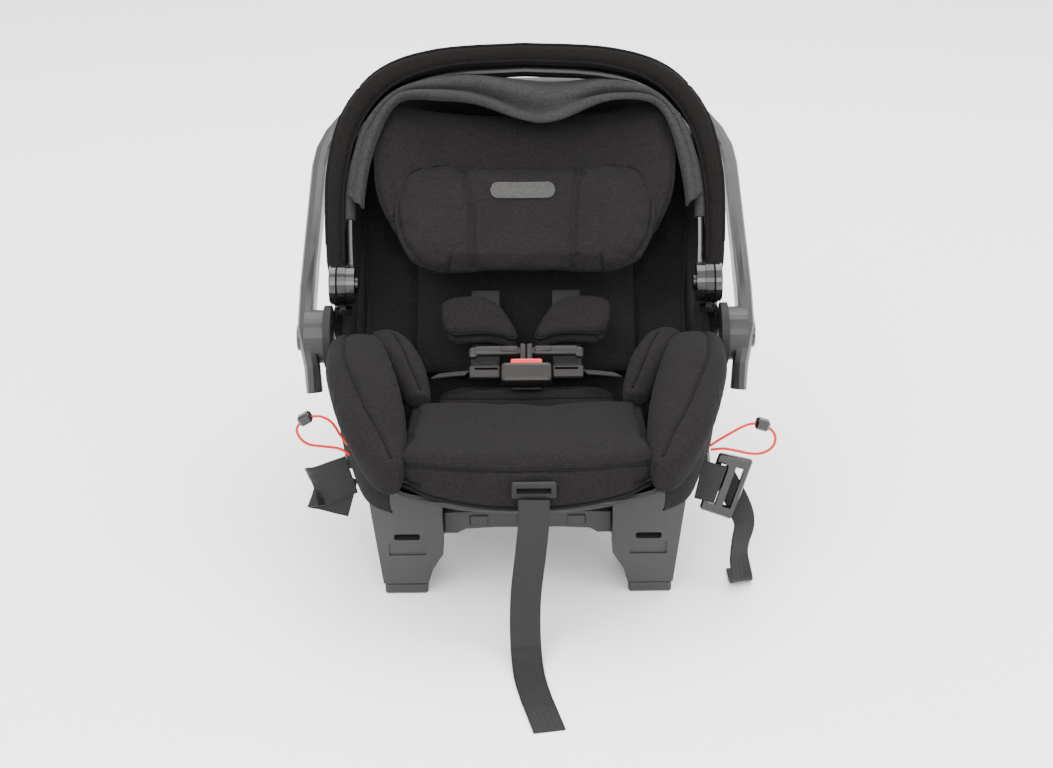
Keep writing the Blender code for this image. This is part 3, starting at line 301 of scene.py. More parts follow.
def cord_finish(name, colour):
    """Braided round cord."""
    finish = Finish(name, 0.6, Sheen_Weight=0.03, Sheen_Roughness=0.4, Specular_IOR_Level=0.2)
    x, y, z = finish.parts(finish.place())
    turn = 2.0 * math.pi / 0.0016
    braid = ((x + z) * turn).sine() * ((x - z + y) * turn).sine() * 0.5 + 0.5
    yarn = finish.noise(1700.0, 2.0)
    finish.colour(finish.mix((braid * 0.7 + yarn * 0.4).held(), shade(colour, 0.62), shade(colour, 1.12)))
    finish.roughness(0.45 + yarn * 0.3)
    finish.bump(braid, 0.0002, 0.8)
    return finish.material


def place_of(x, y, z):
    """A drawn point, in the frame."""
    return Vector((x, y + DRAWN_Y, z))


def back_place(across, along, out):
    """A point measured across, up and out from the seat back, in the frame."""
    return TO_FRAME @ (BACK @ Vector((across, along, out)))


def smooth_line(points, steps):
    """Points of one smooth curve through given ones, with steps points to each span."""
    points = [Vector(point) for point in points]
    ends = [2 * points[0] - points[1], *points, 2 * points[-1] - points[-2]]
    line = []
    for before, start, end, after in zip(ends, ends[1:], ends[2:], ends[3:]):
        for step in range(steps):
            t = step / steps
            line.append(0.5 * ((2 * start) + (end - before) * t
                               + (2 * before - 5 * start + 4 * end - after) * t * t
                               + (3 * start - before - 3 * end + after) * t * t * t))
    line.append(points[-1])
    return line


def at_share(line, share):
    """The point a share of the way along a line of points."""
    spot = min(max(share, 0.0), 1.0) * (len(line) - 1)
    low = min(int(spot), len(line) - 2)
    return Vector(line[low]).lerp(Vector(line[low + 1]), spot - low)


def run_length(line):
    return sum((b - a).length for a, b in zip(line, line[1:]))


def arch_line(half, reach, skip=0.0, steps=6):
    """One canopy arch in its own plane, left to right, without the ends below the height skip."""
    side = [p for p in smooth_line([(half * a, reach * b, 0.0) for a, b in ARCH_SHAPE], steps) if p.y >= skip]
    return [Vector((-p.x, p.y, 0.0)) for p in side] + side[::-1][1:]


def leaned(lean):
    """The plane of a canopy arch that leans back by this many degrees."""
    return TO_FRAME @ Matrix.Translation(CANOPY_PIVOT) @ Matrix.Rotation(math.radians(90.0 - lean), 4, "X")


def add_piece(name, bm, material, body, slot, smooth=True):
    """Makes a bmesh into a piece of the object, on its body; its slot is not used."""
    if bm.faces:
        bmesh.ops.recalc_face_normals(bm, faces=bm.faces)
    mesh = bpy.data.meshes.new(name)
    bm.to_mesh(mesh)
    bm.free()
    for polygon in mesh.polygons:
        polygon.use_smooth = smooth
    mesh.materials.append(material)
    piece = bpy.data.objects.new(name, mesh)
    bpy.context.scene.collection.objects.link(piece)
    if body:
        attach(piece, body)
    return piece


def patch(name, columns, rows, surface, size, material, body, slot):
    """A sheet of cloth: surface(u, v) gives its points, and its UV map is in metres."""
    bm = bmesh.new()
    bmesh.ops.create_grid(bm, x_segments=columns, y_segments=rows, size=0.5)
    uv = bm.loops.layers.uv.new("cloth")
    for face in bm.faces:
        for loop in face.loops:
            spot = loop.vert.co
            loop[uv].uv = ((spot.x + 0.5) * size[0], (spot.y + 0.5) * size[1])
    for vert in bm.verts:
        vert.co = surface(vert.co.x + 0.5, vert.co.y + 0.5)
    return add_piece(name, bm, material, body, slot)


def wall(piece, thickness, offset=-1.0, bevel=0.0):
    """Gives a sheet its thickness, and rounds its edges."""
    solid = piece.modifiers.new("wall", "SOLIDIFY")
    solid.thickness = thickness
    solid.offset = offset
    if bevel:
        edge = piece.modifiers.new("edge", "BEVEL")
        edge.width = bevel
        edge.segments = 2
        edge.limit_method = "ANGLE"
        edge.angle_limit = math.radians(50.0)
    return piece


def divided(piece, levels=1):
    fine = piece.modifiers.new("fine", "SUBSURF")
    fine.levels = levels
    fine.render_levels = levels
    return piece


def strap(name, route, across, width, thickness, material, body, slot="webbing", steps=6):
    """Flat webbing along a route; across gives its width's direction, once or for each point of the route."""
    line = smooth_line(route, steps)
    sides = smooth_line(across if isinstance(across, list) else [across] * len(route), steps)
    length = run_length(line)

    def surface(u, v):
        share = v * (len(line) - 1)
        low = min(int(share + 1e-6), len(line) - 1)
        ahead = line[min(low + 1, len(line) - 1)] - line[max(low - 1, 0)]
        normal = ahead.cross(sides[low]).normalized()
        side = normal.cross(ahead).normalized()
        return line[low] + side * ((u - 0.5) * width)

    piece = patch(name, 8, len(line) - 1, surface, (width, length), material, body, slot)
    return wall(piece, thickness, 0.0, thickness * 0.3), line


def cording(name, line, radius, material, body, closed=False, sides=3):
    """A corded edge or seam welt along a line."""
    curve = bpy.data.curves.new(name, "CURVE")
    curve.dimensions = "3D"
    curve.bevel_depth = radius
    curve.bevel_resolution = sides
    curve.use_fill_caps = True
    spline = curve.splines.new("POLY")
    spline.points.add(len(line) - 1)
    for point, place in zip(spline.points, line):
        point.co = (*place, 1.0)
    spline.use_cyclic_u = closed
    spline.use_smooth = True
    curve.materials.append(material)
    piece = bpy.data.objects.new(name, curve)
    bpy.context.scene.collection.objects.link(piece)
    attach(piece, body)
    return piece


def baked(piece):
    """The piece's mesh with its modifiers worked out."""
    bpy.context.view_layer.update()
    return bpy.data.meshes.new_from_object(piece.evaluated_get(bpy.context.evaluated_depsgraph_get()))


def settle(piece):
    """Works out the piece's modifiers and keeps the result as its mesh."""
    mesh = baked(piece)
    piece.modifiers.clear()
    piece.data = mesh
    return piece


def copy_of(node, inset=0.0):
    """A merged bmesh copy of a CAD node, drawn in by inset."""
    bm = bmesh.new()
    bm.from_mesh(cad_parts[node].data)
    bmesh.ops.remove_doubles(bm, verts=bm.verts, dist=0.00002)
    if inset:
        bm.normal_update()
        moves = [vert.normal * -inset for vert in bm.verts]
        for vert, move in zip(bm.verts, moves):
            vert.co += move
    return bm


def puffed(piece, rise, voxel=0.005, pressure=4.0, frames=20, warp=None):
    """Remeshes a pad, bends it, fills it by cloth pressure and lets no point move further than rise."""
    remesh = piece.modifiers.new("remesh", "REMESH")
    remesh.mode = "VOXEL"
    remesh.voxel_size = voxel
    settle(piece)
    if warp:
        for vert in piece.data.vertices:
            vert.co = warp(vert.co.copy())
        piece.data.update()
    start = [vert.co.copy() for vert in piece.data.vertices]
    cloth = piece.modifiers.new("filling", "CLOTH")
    cloth.settings.use_pressure = True
    cloth.settings.uniform_pressure_force = pressure
    cloth.settings.tension_stiffness = 12.0
    cloth.settings.effector_weights.gravity = 0.0
    cloth.collision_settings.use_collision = False
    cloth.point_cache.frame_start = 1
    cloth.point_cache.frame_end = frames
    for step in range(1, frames + 1):
        bpy.context.scene.frame_set(step)
    filled = baked(piece)
    moved = [vert.co.copy() for vert in filled.vertices]
    piece.modifiers.clear()
    bpy.context.scene.frame_set(1)
    for vert, old, new in zip(piece.data.vertices, start, moved):
        step = new - old
        vert.co = old + step * (rise / max(step.length, rise))
    for polygon in piece.data.polygons:
        polygon.use_smooth = True
    divided(piece)
    settle(piece)
    for polygon in piece.data.polygons:
        polygon.use_smooth = True
    return piece


def covered(piece, material, body, fill):
    """Gives a filled piece its cover and its body; its filling (fill) is not used."""
    piece.data.materials.clear()
    piece.data.materials.append(material)
    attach(piece, body)
    return piece


def pad(name, node, material, body, rise=None, inset=0.003, voxel=0.005, slot="cover_fabric", warp=None,
        fill=0.6):
    """A filled pad that starts from its CAD solid, a little smaller."""
    sizes = bpy.context.scene.seat_sizes
    piece = add_piece(name, copy_of(node, inset), material, None, slot)
    puffed(piece, sizes.pad_rise if rise is None else rise, voxel, warp=warp)
    return covered(piece, material, body, fill)


def mirrored_outline(half):
    """A closed outline from the half that starts and ends on the middle line."""
    outline = smooth_line([(x, s, 0.0) for x, s in half], 5)
    return outline + [Vector((-p.x, p.y, 0.0)) for p in outline[-2:0:-1]]


def cushion(name, outline, back, front, bend, material, body, rise, fill, voxel=0.0045, slot="cover_fabric"):
    """A filled cushion cut to an outline across and up the seat back, then bent to its place."""
    bm = bmesh.new()
    corners = [bm.verts.new((p.x, p.y, back)) for p in outline]
    face = bm.faces.new(corners)
    grown = bmesh.ops.extrude_face_region(bm, geom=[face])["geom"]
    bmesh.ops.translate(bm, verts=[item for item in grown if isinstance(item, bmesh.types.BMVert)],
                        vec=(0.0, 0.0, front - back))
    piece = add_piece(name, bm, material, None, slot)
    puffed(piece, rise, voxel, warp=lambda p: bend(p.x, p.y, p.z))
    return covered(piece, material, body, fill)


def roll(name, rings, material, body, rise, voxel=0.005, slot="cover_fabric", fill=0.6):
    """A stuffed roll through rings, each a middle with its half width and half height vectors."""
    count = 20
    bm = bmesh.new()
    bmesh.ops.create_grid(bm, x_segments=count, y_segments=len(rings) - 1, size=0.5)
    for vert in bm.verts:
        middle, wide, tall = rings[round((vert.co.y + 0.5) * (len(rings) - 1))]
        angle = (vert.co.x + 0.5) * 2.0 * math.pi
        across = math.copysign(abs(math.cos(angle)) ** 0.75, math.cos(angle))
        up = math.copysign(abs(math.sin(angle)) ** 0.75, math.sin(angle))
        vert.co = middle + wide * across + tall * up
    bmesh.ops.remove_doubles(bm, verts=bm.verts, dist=0.00001)
    bmesh.ops.holes_fill(bm, edges=bm.edges, sides=0)
    piece = add_piece(name, bm, material, None, slot)
    puffed(piece, rise, voxel)
    return covered(piece, material, body, fill)


def ring_rows(side, stations, rows=4):
    """Rings across the seat from (y, inner x, outer x, low z, high z) stations, in the frame."""
    spans = smooth_line([(y, near, far) for y, near, far, low, high in stations], rows)
    rises = smooth_line([(0.0, low, high) for y, near, far, low, high in stations], rows)
    return [(place_of(side * (span.y + span.z) / 2.0, span.x, (rise.y + rise.z) / 2.0),
             Vector(((span.z - span.y) / 2.0, 0.0, 0.0)), Vector((0.0, 0.0, (rise.z - rise.y) / 2.0)))
            for span, rise in zip(spans, rises)]


def crease(piece, lines, depth=None, width=0.0035):
    """Pulls a pad's cover in along its seams."""
    depth = bpy.context.scene.seat_sizes.seam_depth if depth is None else depth
    points = [point for line in lines for point in dense(line, 0.0015)]
    tree = KDTree(len(points))
    for index, point in enumerate(points):
        tree.insert(point, index)
    tree.balance()
    for vert in piece.data.vertices:
        distance = tree.find(vert.co)[2]
        if distance < 3.0 * width:
            vert.co -= vert.normal * (depth * math.exp(-(distance / width) ** 2))
    piece.data.update()
    return piece


def dense(line, step):
    """The line with points no further apart than step."""
    result = []
    for start, end in zip(line, line[1:]):
        count = max(1, math.ceil((end - start).length / step))
        result += [start.lerp(end, index / count) for index in range(count)]
    return result + [Vector(line[-1])]


def skin_of(piece):
    """The piece's faces, ready for rays and nearest points."""
    return BVHTree.FromPolygons([vert.co for vert in piece.data.vertices],
                                [polygon.vertices for polygon in piece.data.polygons])


def on_skin(piece, line, direction, lift=0.0, step=0.003, reach=0.2):
    """The line dropped along direction onto the piece's skin."""
    skin = skin_of(piece)
    way = Vector(direction).normalized()
    result = []
    for point in dense([Vector(p) for p in line], step):
        hit = skin.ray_cast(point - way * reach, way)[0]
        if hit is None:
            hit = skin.find_nearest(point)[0]
        result.append(hit - way * lift)
    return result


def stitching(name, line, away, material, body, slot, radius=0.00035):
    """A row of short thread stitches on a line, standing away from the cover."""
    pitch = bpy.context.scene.seat_sizes.stitch_pitch
    points = dense(line, pitch)
    bm = bmesh.new()
    for start, end in zip(points, points[1:]):
        run = (end - start) * 0.62
        if run.length < pitch * 0.3:
            continue
        turn = run.to_track_quat("Z", "Y").to_matrix().to_4x4()
        middle = Matrix.Translation((start + end) / 2 + Vector(away) * radius * 0.5)
        bmesh.ops.create_cone(bm, cap_ends=True, segments=6, radius1=radius, radius2=radius, depth=run.length,
                              matrix=middle @ turn)
    return add_piece(name, bm, material, body, slot)


FINISHES = {}


def make_finishes():
    """The object's own materials, by the maker's name for each."""
    colours = bpy.context.scene.seat_colours
    sizes = bpy.context.scene.seat_sizes
    cover, dark = tuple(colours.cover), tuple(colours.dark)
    webbing, red = tuple(colours.webbing), tuple(colours.red)
    pitch = sizes.weave_pitch
    FINISHES.update({
        "cover": cloth_finish("cover_cloth", cover, pitch),
        "insert": cloth_finish("insert_cloth", shade(cover, 1.12), pitch * 0.8, 1.6, 0.00018),
        "lining": cloth_finish("lining_cloth", shade(cover, 0.75), pitch * 1.2, 1.5),
        "canopy": cloth_finish("canopy_cloth", tuple(colours.rim), pitch * 0.85, 1.6, 0.00018),
        "visor": cloth_finish("visor_cloth", tuple(colours.visor), pitch * 1.1, 1.6, 0.00022, 0.02, 0.9),
        "piping": cloth_finish("piping_cloth", shade(cover, 0.8), pitch * 0.6, 1.5, 0.00012),
        "patch": cloth_finish("patch_cloth", (0.050, 0.049, 0.048), pitch * 0.7, 1.25, 0.0001, 0.02, 0.3),
        "thread": cloth_finish("sewing_thread", shade(cover, 2.2), pitch * 0.4, 1.3, 0.00005),
        "handle": moulded_finish("handle_plastic_satin", tuple(colours.handle), 0.40, 0.0006, 0.00005, 0.08),
        "base": moulded_finish("base_plastic_matt", tuple(colours.base), 0.48, 0.0008, 0.00008),
        "hub": moulded_finish("hub_plastic_gloss", shade(dark, 1.5), 0.20, 0.0009, 0.00002, 0.6),
        "black": moulded_finish("black_plastic_gloss", shade(dark, 0.8), 0.26, 0.0008, 0.00003, 0.4),
        "shell": moulded_finish("shell_plastic_matt", shade(dark, 0.7), 0.62, 0.0007, 0.00008),
        "buckle": moulded_finish("buckle_plastic_satin", tuple(colours.buckle), 0.42, 0.0006, 0.00006),
        "button": moulded_finish("button_plastic_red", red, 0.35, 0.0007, 0.00003, 0.3, 0.06),
        "steel": steel_finish("bright_steel"),
        "webbing": webbing_finish("harness_webbing", webbing, sizes.webbing_width),
        "belt": webbing_finish("belt_webbing", shade(webbing, 0.9), BELT_WIDTH, 0.0076),
        "tail": webbing_finish("tail_webbing", shade(webbing, 0.8), TAIL_WIDTH, 0.0044),
        "red_cord": cord_finish("release_cord_red", red),
    })


def dress(finish, *nodes):
    """Gives CAD nodes a finish."""
    for node in nodes:
        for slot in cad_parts[node].material_slots:
            slot.material = FINISHES[finish]


def both(*names):
    return [f"{name}_{side}" for name in names for side in ("left", "right")]


class SEAT_OT_stage(bpy.types.Operator):
    """Make the pale floor, the soft light and the camera"""
    bl_idname = "seat.stage"
    bl_label = "Stage"

    def execute(self, context):
        scene = context.scene
        bm = bmesh.new()
        bmesh.ops.create_grid(bm, x_segments=2, y_segments=2, size=9.0)
        mesh = bpy.data.meshes.new("floor")
        bm.to_mesh(mesh)
        bm.free()
        floor = bpy.data.objects.new("floor", mesh)
        scene.collection.objects.link(floor)
        paint = Finish("floor_paint", 0.75)
        paint.colour(paint.mix(paint.noise(2.0), (0.93, 0.93, 0.93), (0.95, 0.95, 0.95)))
        mesh.materials.append(paint.material)
        world = bpy.data.worlds.new("soft_room")
        world.use_nodes = True
        world.node_tree.nodes["Background"].inputs["Color"].default_value = (1.0, 1.0, 1.0, 1.0)
        world.node_tree.nodes["Background"].inputs["Strength"].default_value = ROOM_LIGHT
        scene.world = world
        for name, place, width, power in LAMPS:
            light = bpy.data.lights.new(name, "AREA")
            light.size = width
            light.energy = power
            lamp = bpy.data.objects.new(name, light)
            lamp.location = place
            lamp.rotation_euler = (LAMP_AIM - Vector(place)).to_track_quat("-Z", "Y").to_euler()
            scene.collection.objects.link(lamp)
        lens = bpy.data.cameras.new("camera")
        lens.lens = LENS
        lens.sensor_width = 36.0
        camera = bpy.data.objects.new("camera", lens)
        camera.location = CAMERA_PLACE
        turn = (CAMERA_AIM - camera.location).to_track_quat("-Z", "Y").to_matrix()
        camera.rotation_euler = (turn @ Matrix.Rotation(math.radians(CAMERA_ROLL), 3, "Z")).to_euler()
        scene.collection.objects.link(camera)
        scene.camera = camera
        return {"FINISHED"}


class SEAT_OT_hard_parts(bpy.types.Operator):
    """Give every moulded, steel and lined part of the frame its finish"""
    bl_idname = "seat.hard_parts"
    bl_label = "Hard parts"

    def execute(self, context):
        make_finishes()
        dress("base", "base_shell", "recline_foot")
        dress("handle", "carry_handle")
        dress("hub", *both("hub_outer", "handle_button"), "visor_bow", "middle_bow")
        dress("black", *both("hub_core", "cord_lock"), "belt_adjuster_frame", "adjuster_lever")
        dress("shell", "outer_shell", "release_guide", "headrest_shell", "release_handle", "strap_bezel")
        dress("buckle", "buckle_housing", *both("chest_clip", "buckle_tongue"))
        dress("button", "buckle_button")
        dress("steel", "front_lock_rod", "rear_lock_rod", "latch_claw_front", "latch_claw_rear",
              "adjuster_body", "release_spring")
        dress("lining", "foam_liner")
        return {"FINISHED"}


ADJUSTER_TAIL = [(0.0056, -0.0990, 0.1430), (0.0050, -0.1010, 0.1200), (0.0020, -0.1010, 0.0900),
                 (-0.0020, -0.1030, 0.0550), (-0.0030, -0.1120, 0.0270), (-0.0020, -0.1300, 0.0085),
                 (0.0004, -0.1550, 0.0020), (0.0050, -0.1850, 0.0012), (0.0110, -0.2150, 0.0012),
                 (0.0165, -0.2420, 0.0012)]
BELT_TAIL = [(0.1765, 0.0180, 0.1180), (0.1845, 0.0195, 0.1020), (0.1945, 0.0190, 0.0820),
             (0.2000, 0.0140, 0.0650), (0.1965, 0.0070, 0.0500), (0.1950, 0.0045, 0.0360),
             (0.1970, 0.0040, 0.0210), (0.1985, 0.0085, 0.0085), (0.1990, 0.0220, 0.0020),
             (0.1990, 0.0450, 0.0014)]
BELT_TAIL_ACROSS = [(0.80, 0.0, 0.55), (0.82, 0.0, 0.52), (0.85, 0.1, 0.45), (0.85, 0.5, 0.1),
                    (0.80, 0.6, 0.0), (0.80, 0.6, 0.0), (0.85, 0.5, 0.0), (0.95, 0.3, 0.0), (1.0, 0.1, 0.0),
                    (1.0, 0.0, 0.0)]
PULL_LOOPS = {
    -1: [(-0.1620, 0.002, 0.1520), (-0.1690, 0.005, 0.1613), (-0.1760, 0.006, 0.1725),
         (-0.1866, 0.006, 0.1785), (-0.1993, 0.006, 0.1760), (-0.2075, 0.006, 0.1665),
         (-0.2043, 0.006, 0.1564), (-0.1967, 0.006, 0.1508), (-0.1855, 0.006, 0.1490),
         (-0.1700, 0.004, 0.1475), (-0.1600, 0.000, 0.1430)],
    1: [(0.1655, 0.000, 0.1490), (0.1732, 0.005, 0.1520), (0.1838, 0.006, 0.1583), (0.1943, 0.006, 0.1645),
        (0.2032, 0.006, 0.1675), (0.2123, 0.006, 0.1664), (0.2207, 0.006, 0.1613), (0.2246, 0.006, 0.1534),
        (0.2223, 0.006, 0.1445), (0.2135, 0.006, 0.1386), (0.2027, 0.006, 0.1381), (0.1916, 0.005, 0.1410),
        (0.1780, 0.003, 0.1445), (0.1660, 0.002, 0.1440)],
}


def drawn(points):
    return [place_of(*point) for point in points]


class SEAT_OT_cords(bpy.types.Operator):
    """Lay the adjuster strap, the belt tail and the two red release cords"""
    bl_idname = "seat.cords"
    bl_label = "Straps and cords that lie free"

    def execute(self, context):
        sizes = context.scene.seat_sizes
        route = drawn(ADJUSTER_TAIL)
        tail, line = strap("adjuster_strap_web", route, (1.0, 0.0, 0.0), sizes.webbing_width,
                           sizes.webbing_thickness, FINISHES["webbing"], "carrier")
        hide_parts("adjuster_strap")
        run_length(line)
        [tuple(p) for p in line]
        belt, line = strap("belt_tail_web", drawn(BELT_TAIL), BELT_TAIL_ACROSS, TAIL_WIDTH, TAIL_THICKNESS,
                           FINISHES["tail"], "base")
        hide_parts("anchor_belt_tail")
        tuple(line[0])
        run_length(line)
        [tuple(p) for p in line]
        for side, name in SIDES:
            line = smooth_line(drawn(PULL_LOOPS[side]), 5)
            loop = cording(f"release_cord_{name}", line, CORD_RADIUS, FINISHES["red_cord"], "base",
                           sides=4)
            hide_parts(f"pull_cord_{name}")
            tuple(line[0])
            run_length(line)
        return {"FINISHED"}


class SEAT_OT_canopy(bpy.types.Operator):
    """Make the padded rim, the folded cover and the visor band of the canopy"""
    bl_idname = "seat.canopy"
    bl_label = "Canopy"

    def execute(self, context):
        canopy, piping = FINISHES["canopy"], FINISHES["piping"]
        front = leaned(CANOPY_LEAN)
        path = [Vector((-0.1815, 0.004, 0.0)), *arch_line(RIM_HALF, CANOPY_REACH, 0.012),
                Vector((0.1815, 0.004, 0.0))]
        rings = []
        for index, point in enumerate(path):
            ahead = (path[min(index + 1, len(path) - 1)] - path[max(index - 1, 0)]).normalized()
            slim = 0.0088 + 0.0022 * min(point.y / 0.12, 1.0)
            rings.append((front @ point, front.to_3x3() @ Vector((-ahead.y, ahead.x, 0.0)) * slim,
                          front.to_3x3() @ Vector((0.0, 0.0, 0.0105))))
        rim = roll("canopy_rim_pad", rings, canopy, "canopy_rim", 0.0025, 0.0042, "canopy_fabric", 0.8)
        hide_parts("canopy_rim")
        for name, inward, forward in (("inner", 0.0082, 0.0085), ("outer", -0.0082, 0.0085)):
            line = [front @ Vector((p.x * (1.0 - inward / RIM_HALF), p.y - inward, forward))
                    for p in arch_line(RIM_HALF, CANOPY_REACH, 0.030)]
            crease(rim, [line], 0.0014, 0.0025)
            line = on_skin(rim, line, front.to_3x3() @ Vector((0.0, 0.0, -1.0)), 0.0004, 0.004, 0.05)
            cording(f"canopy_rim_piping_{name}", line, 0.0013, piping, "canopy_rim")
        self.cover(canopy)
        self.visor()
        return {"FINISHED"}

    def cover(self, canopy):
        """One sheet from the rim over the middle bow to the back edge, lying in folds."""
        leans = (31.0, 35.0, 40.0, 45.0, 49.0, 54.0)
        halves = (0.1850, 0.1890, 0.190, 0.190, 0.188, 0.182)
        reaches = (0.2335, 0.2415, 0.2440, 0.2455, 0.2560, 0.2760)
        skips = (0.034, 0.040, 0.052, 0.066, 0.080, 0.094)
        rows = [[leaned(lean) @ point for point in arch_line(half, reach, skip)]
                for lean, half, reach, skip in zip(leans, halves, reaches, skips)]
        middle = leaned(45.0).translation

        def surface(u, v):
            column = smooth_line([at_share(row, u) for row in rows], 1)
            fine = smooth_line(column, 6)
            point = at_share(fine, v)
            out = (point - middle).normalized()
            fold = math.sin(v * math.pi * 7.0 + 1.3 * math.sin(u * math.pi * 2.0)) * 0.0016
            return point + out * (fold * math.sin(v * math.pi) - 0.0012)

        size = (run_length(rows[2]), 0.105)
        cover = patch("canopy_cover", 64, 30, surface, size, canopy, None, "canopy_fabric")
        wall(cover, CANOPY_CLOTH, -1.0)
        settle(cover)
        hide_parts("canopy_cover_front", "canopy_cover_rear")
        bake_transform(cover)

    def visor(self):
        """The lighter band under the rim, in two folds that sag at the middle, with its bow sleeves."""
        front = leaned(CANOPY_LEAN)
        top = arch_line(VISOR_HALF + 0.001, VISOR_REACH, 0.085)
        low = arch_line(VISOR_HALF - 0.013, 0.1960, 0.070)

        def bell(u, middle, width):
            return math.exp(-((u - middle) / width) ** 2)

        def surface(u, v):
            high, under = at_share(top, u), at_share(low, u)
            sag = 0.037 * bell(u, 0.53, 0.085) + 0.010 * bell(u, 0.40, 0.10) + 0.006 * bell(u, 0.66, 0.07)
            tight = 1.0 - 0.50 * bell(u, 0.27, 0.07) - 0.45 * bell(u, 0.76, 0.08)
            point = high.lerp(under, v * tight)
            point.y -= sag * (0.30 + 0.70 * v ** 0.7)
            lap = v * 2.0 * math.pi * 1.5 + 1.1 * math.sin(u * 7.0 + 0.6)
            depth = 0.003 + 0.010 * math.sin(v * math.pi * 0.7)
            depth += 0.0046 * math.sin(lap) * (0.35 + bell(u, 0.5, 0.3))
            roll = 0.004 * bell(u, 0.42 + 0.22 * v, 0.05) - 0.003 * bell(u, 0.58 - 0.10 * v, 0.04)
            return front @ (point + Vector((0.0, 0.0, depth + roll)))

        size = (run_length(top), 0.045)
        band = patch("visor_fabric_band", 110, 26, surface, size, FINISHES["visor"], None, "visor_fabric")
        wall(band, CANOPY_CLOTH, -1.0)
        settle(band)
        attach(band, "visor")
        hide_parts("visor_band")
        hem = [surface(index / 90.0, 0.995) for index in range(91)]
        cording("visor_hem", hem, 0.0014, FINISHES["visor"], "visor")
        bow = arch_line(VISOR_HALF, VISOR_REACH)
        for side, name in SIDES:
            sleeve = [front @ p for p in bow if p.x * side > 0.0 and 0.058 < p.y < 0.125]
            tube = cording(f"visor_sleeve_{name}", sleeve, 0.0056, FINISHES["visor"], "visor",
                           sides=5)


class SEAT_OT_headrest(bpy.types.Operator):
    """Make the headrest pad, its gusset piping and the pillow with its patch"""
    bl_idname = "seat.headrest"
    bl_label = "Headrest"

    def execute(self, context):
        cover, piping = FINISHES["cover"], FINISHES["piping"]
        rest = self.wings(cover)
        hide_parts("headrest_pad", "headrest_shell")
        centre = [[self.face(x, s, 0.06) for s in stretch] for x, stretch in ((0.012, (0.455, 0.440)),
                                                                              (0.0225, (0.436, 0.420)))]
        crease(rest, centre, 0.0012, 0.0016)
        for side, name in SIDES:
            route = [(0.1385, 0.481), (0.1425, 0.455), (0.1440, 0.420), (0.1410, 0.385), (0.128, 0.350),
                     (0.110, 0.322)]
            line = [self.face(side * x, s, 0.11) for x, s in route]
            line = on_skin(rest, smooth_line(line, 5), -OUTWARD, 0.0, 0.004, 0.03)
            crease(rest, [line], 0.0022, 0.003)
            line = on_skin(rest, line, -OUTWARD, 0.0003, 0.004, 0.03)
            cording(f"headrest_piping_{name}", line, 0.0012, piping, "headrest")
        pillow = self.pillow()
        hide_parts("head_pillow")
        seams = [[self.lobe(x, s, 0.09) for x, s in route] for route in (
            ((-0.060, 0.4195), (-0.0565, 0.392), (-0.0515, 0.36), (-0.0500, 0.299)),
            ((0.0525, 0.4195), (0.0500, 0.392), (0.0465, 0.36), (0.0455, 0.299)))]
        crease(pillow, [on_skin(pillow, seam, -OUTWARD, 0.0, 0.003, 0.03) for seam in seams], 0.0040, 0.0028)
        for side, name in SIDES:
            route = [(0.066, 0.415), (0.093, 0.413), (0.111, 0.404), (0.1200, 0.385), (0.1215, 0.36),
                     (0.115, 0.332), (0.098, 0.3095), (0.072, 0.302)]
            border = smooth_line([self.lobe(side * x, s, 0.11) for x, s in route], 6)
            border = on_skin(pillow, border, -OUTWARD, 0.0, 0.003, 0.03)
            crease(pillow, [border], 0.0018, 0.0026)
            edge = on_skin(pillow, border, -OUTWARD, 0.0003, 0.003, 0.03)
            cording(f"pillow_piping_{name}", edge, 0.0010, piping, "headrest")
        self.patch(pillow)
        return {"FINISHED"}

    def face(self, x, s, h):
        """A point on the headrest, whose wings come forward at the sides."""
        wide = abs(x) / 0.15
        return back_place(x, s, h + 0.030 * wide ** 2.4 + 0.006 * (s - 0.30) / 0.18)

    def lobe(self, x, s, h):
        """A point on the pillow, whose side lobes come forward a little."""
        return back_place(x, s, h + 0.012 * (abs(x) / 0.125) ** 2.0)

    def wings(self, cover):
        half = [(0.0, 0.310), (0.080, 0.310), (0.105, 0.318), (0.127, 0.345), (0.143, 0.380), (0.1480, 0.420),
                (0.1480, 0.462), (0.1420, 0.481), (0.1260, 0.4865), (0.070, 0.4835), (0.0, 0.4815)]
        return cushion("headrest_cushion", mirrored_outline(half), 0.0385, 0.0535, self.face, cover,
                       "headrest", 0.004, 0.7)

    def pillow(self):
        half = [(0.0, 0.298), (0.060, 0.2975), (0.090, 0.300), (0.113, 0.315), (0.1245, 0.340),
                (0.1275, 0.366), (0.1240, 0.392), (0.112, 0.4115), (0.094, 0.4185), (0.058, 0.4190),
                (0.0, 0.4200)]
        return cushion("head_pillow_cushion", mirrored_outline(half), 0.054, 0.0675, self.lobe,
                       FINISHES["insert"], "headrest", 0.007, 0.8)

    def patch(self, pillow):
        """A blank sewn patch with round ends, laid on the pillow."""
        bm = bmesh.new()
        bmesh.ops.create_grid(bm, x_segments=40, y_segments=12, size=1.0)
        skin = skin_of(pillow)
        half, tall, corner = 0.0315, 0.0088, 0.0080
        for vert in bm.verts:
            x, s = vert.co.x * half, vert.co.y * tall
            over = max(abs(x) - (half - corner), 0.0)
            s *= (tall - corner + math.sqrt(max(corner * corner - over * over, 0.0))) / tall
            start = back_place(x - 0.002, 0.384 + s, 0.10)
            hit = skin.ray_cast(start, -OUTWARD)[0]
            vert.co = (hit if hit else start) + OUTWARD * 0.0007
        label = add_piece("pillow_patch", bm, FINISHES["patch"], "headrest", "cover_fabric")
        wall(label, 0.0008, 1.0, 0.0002)


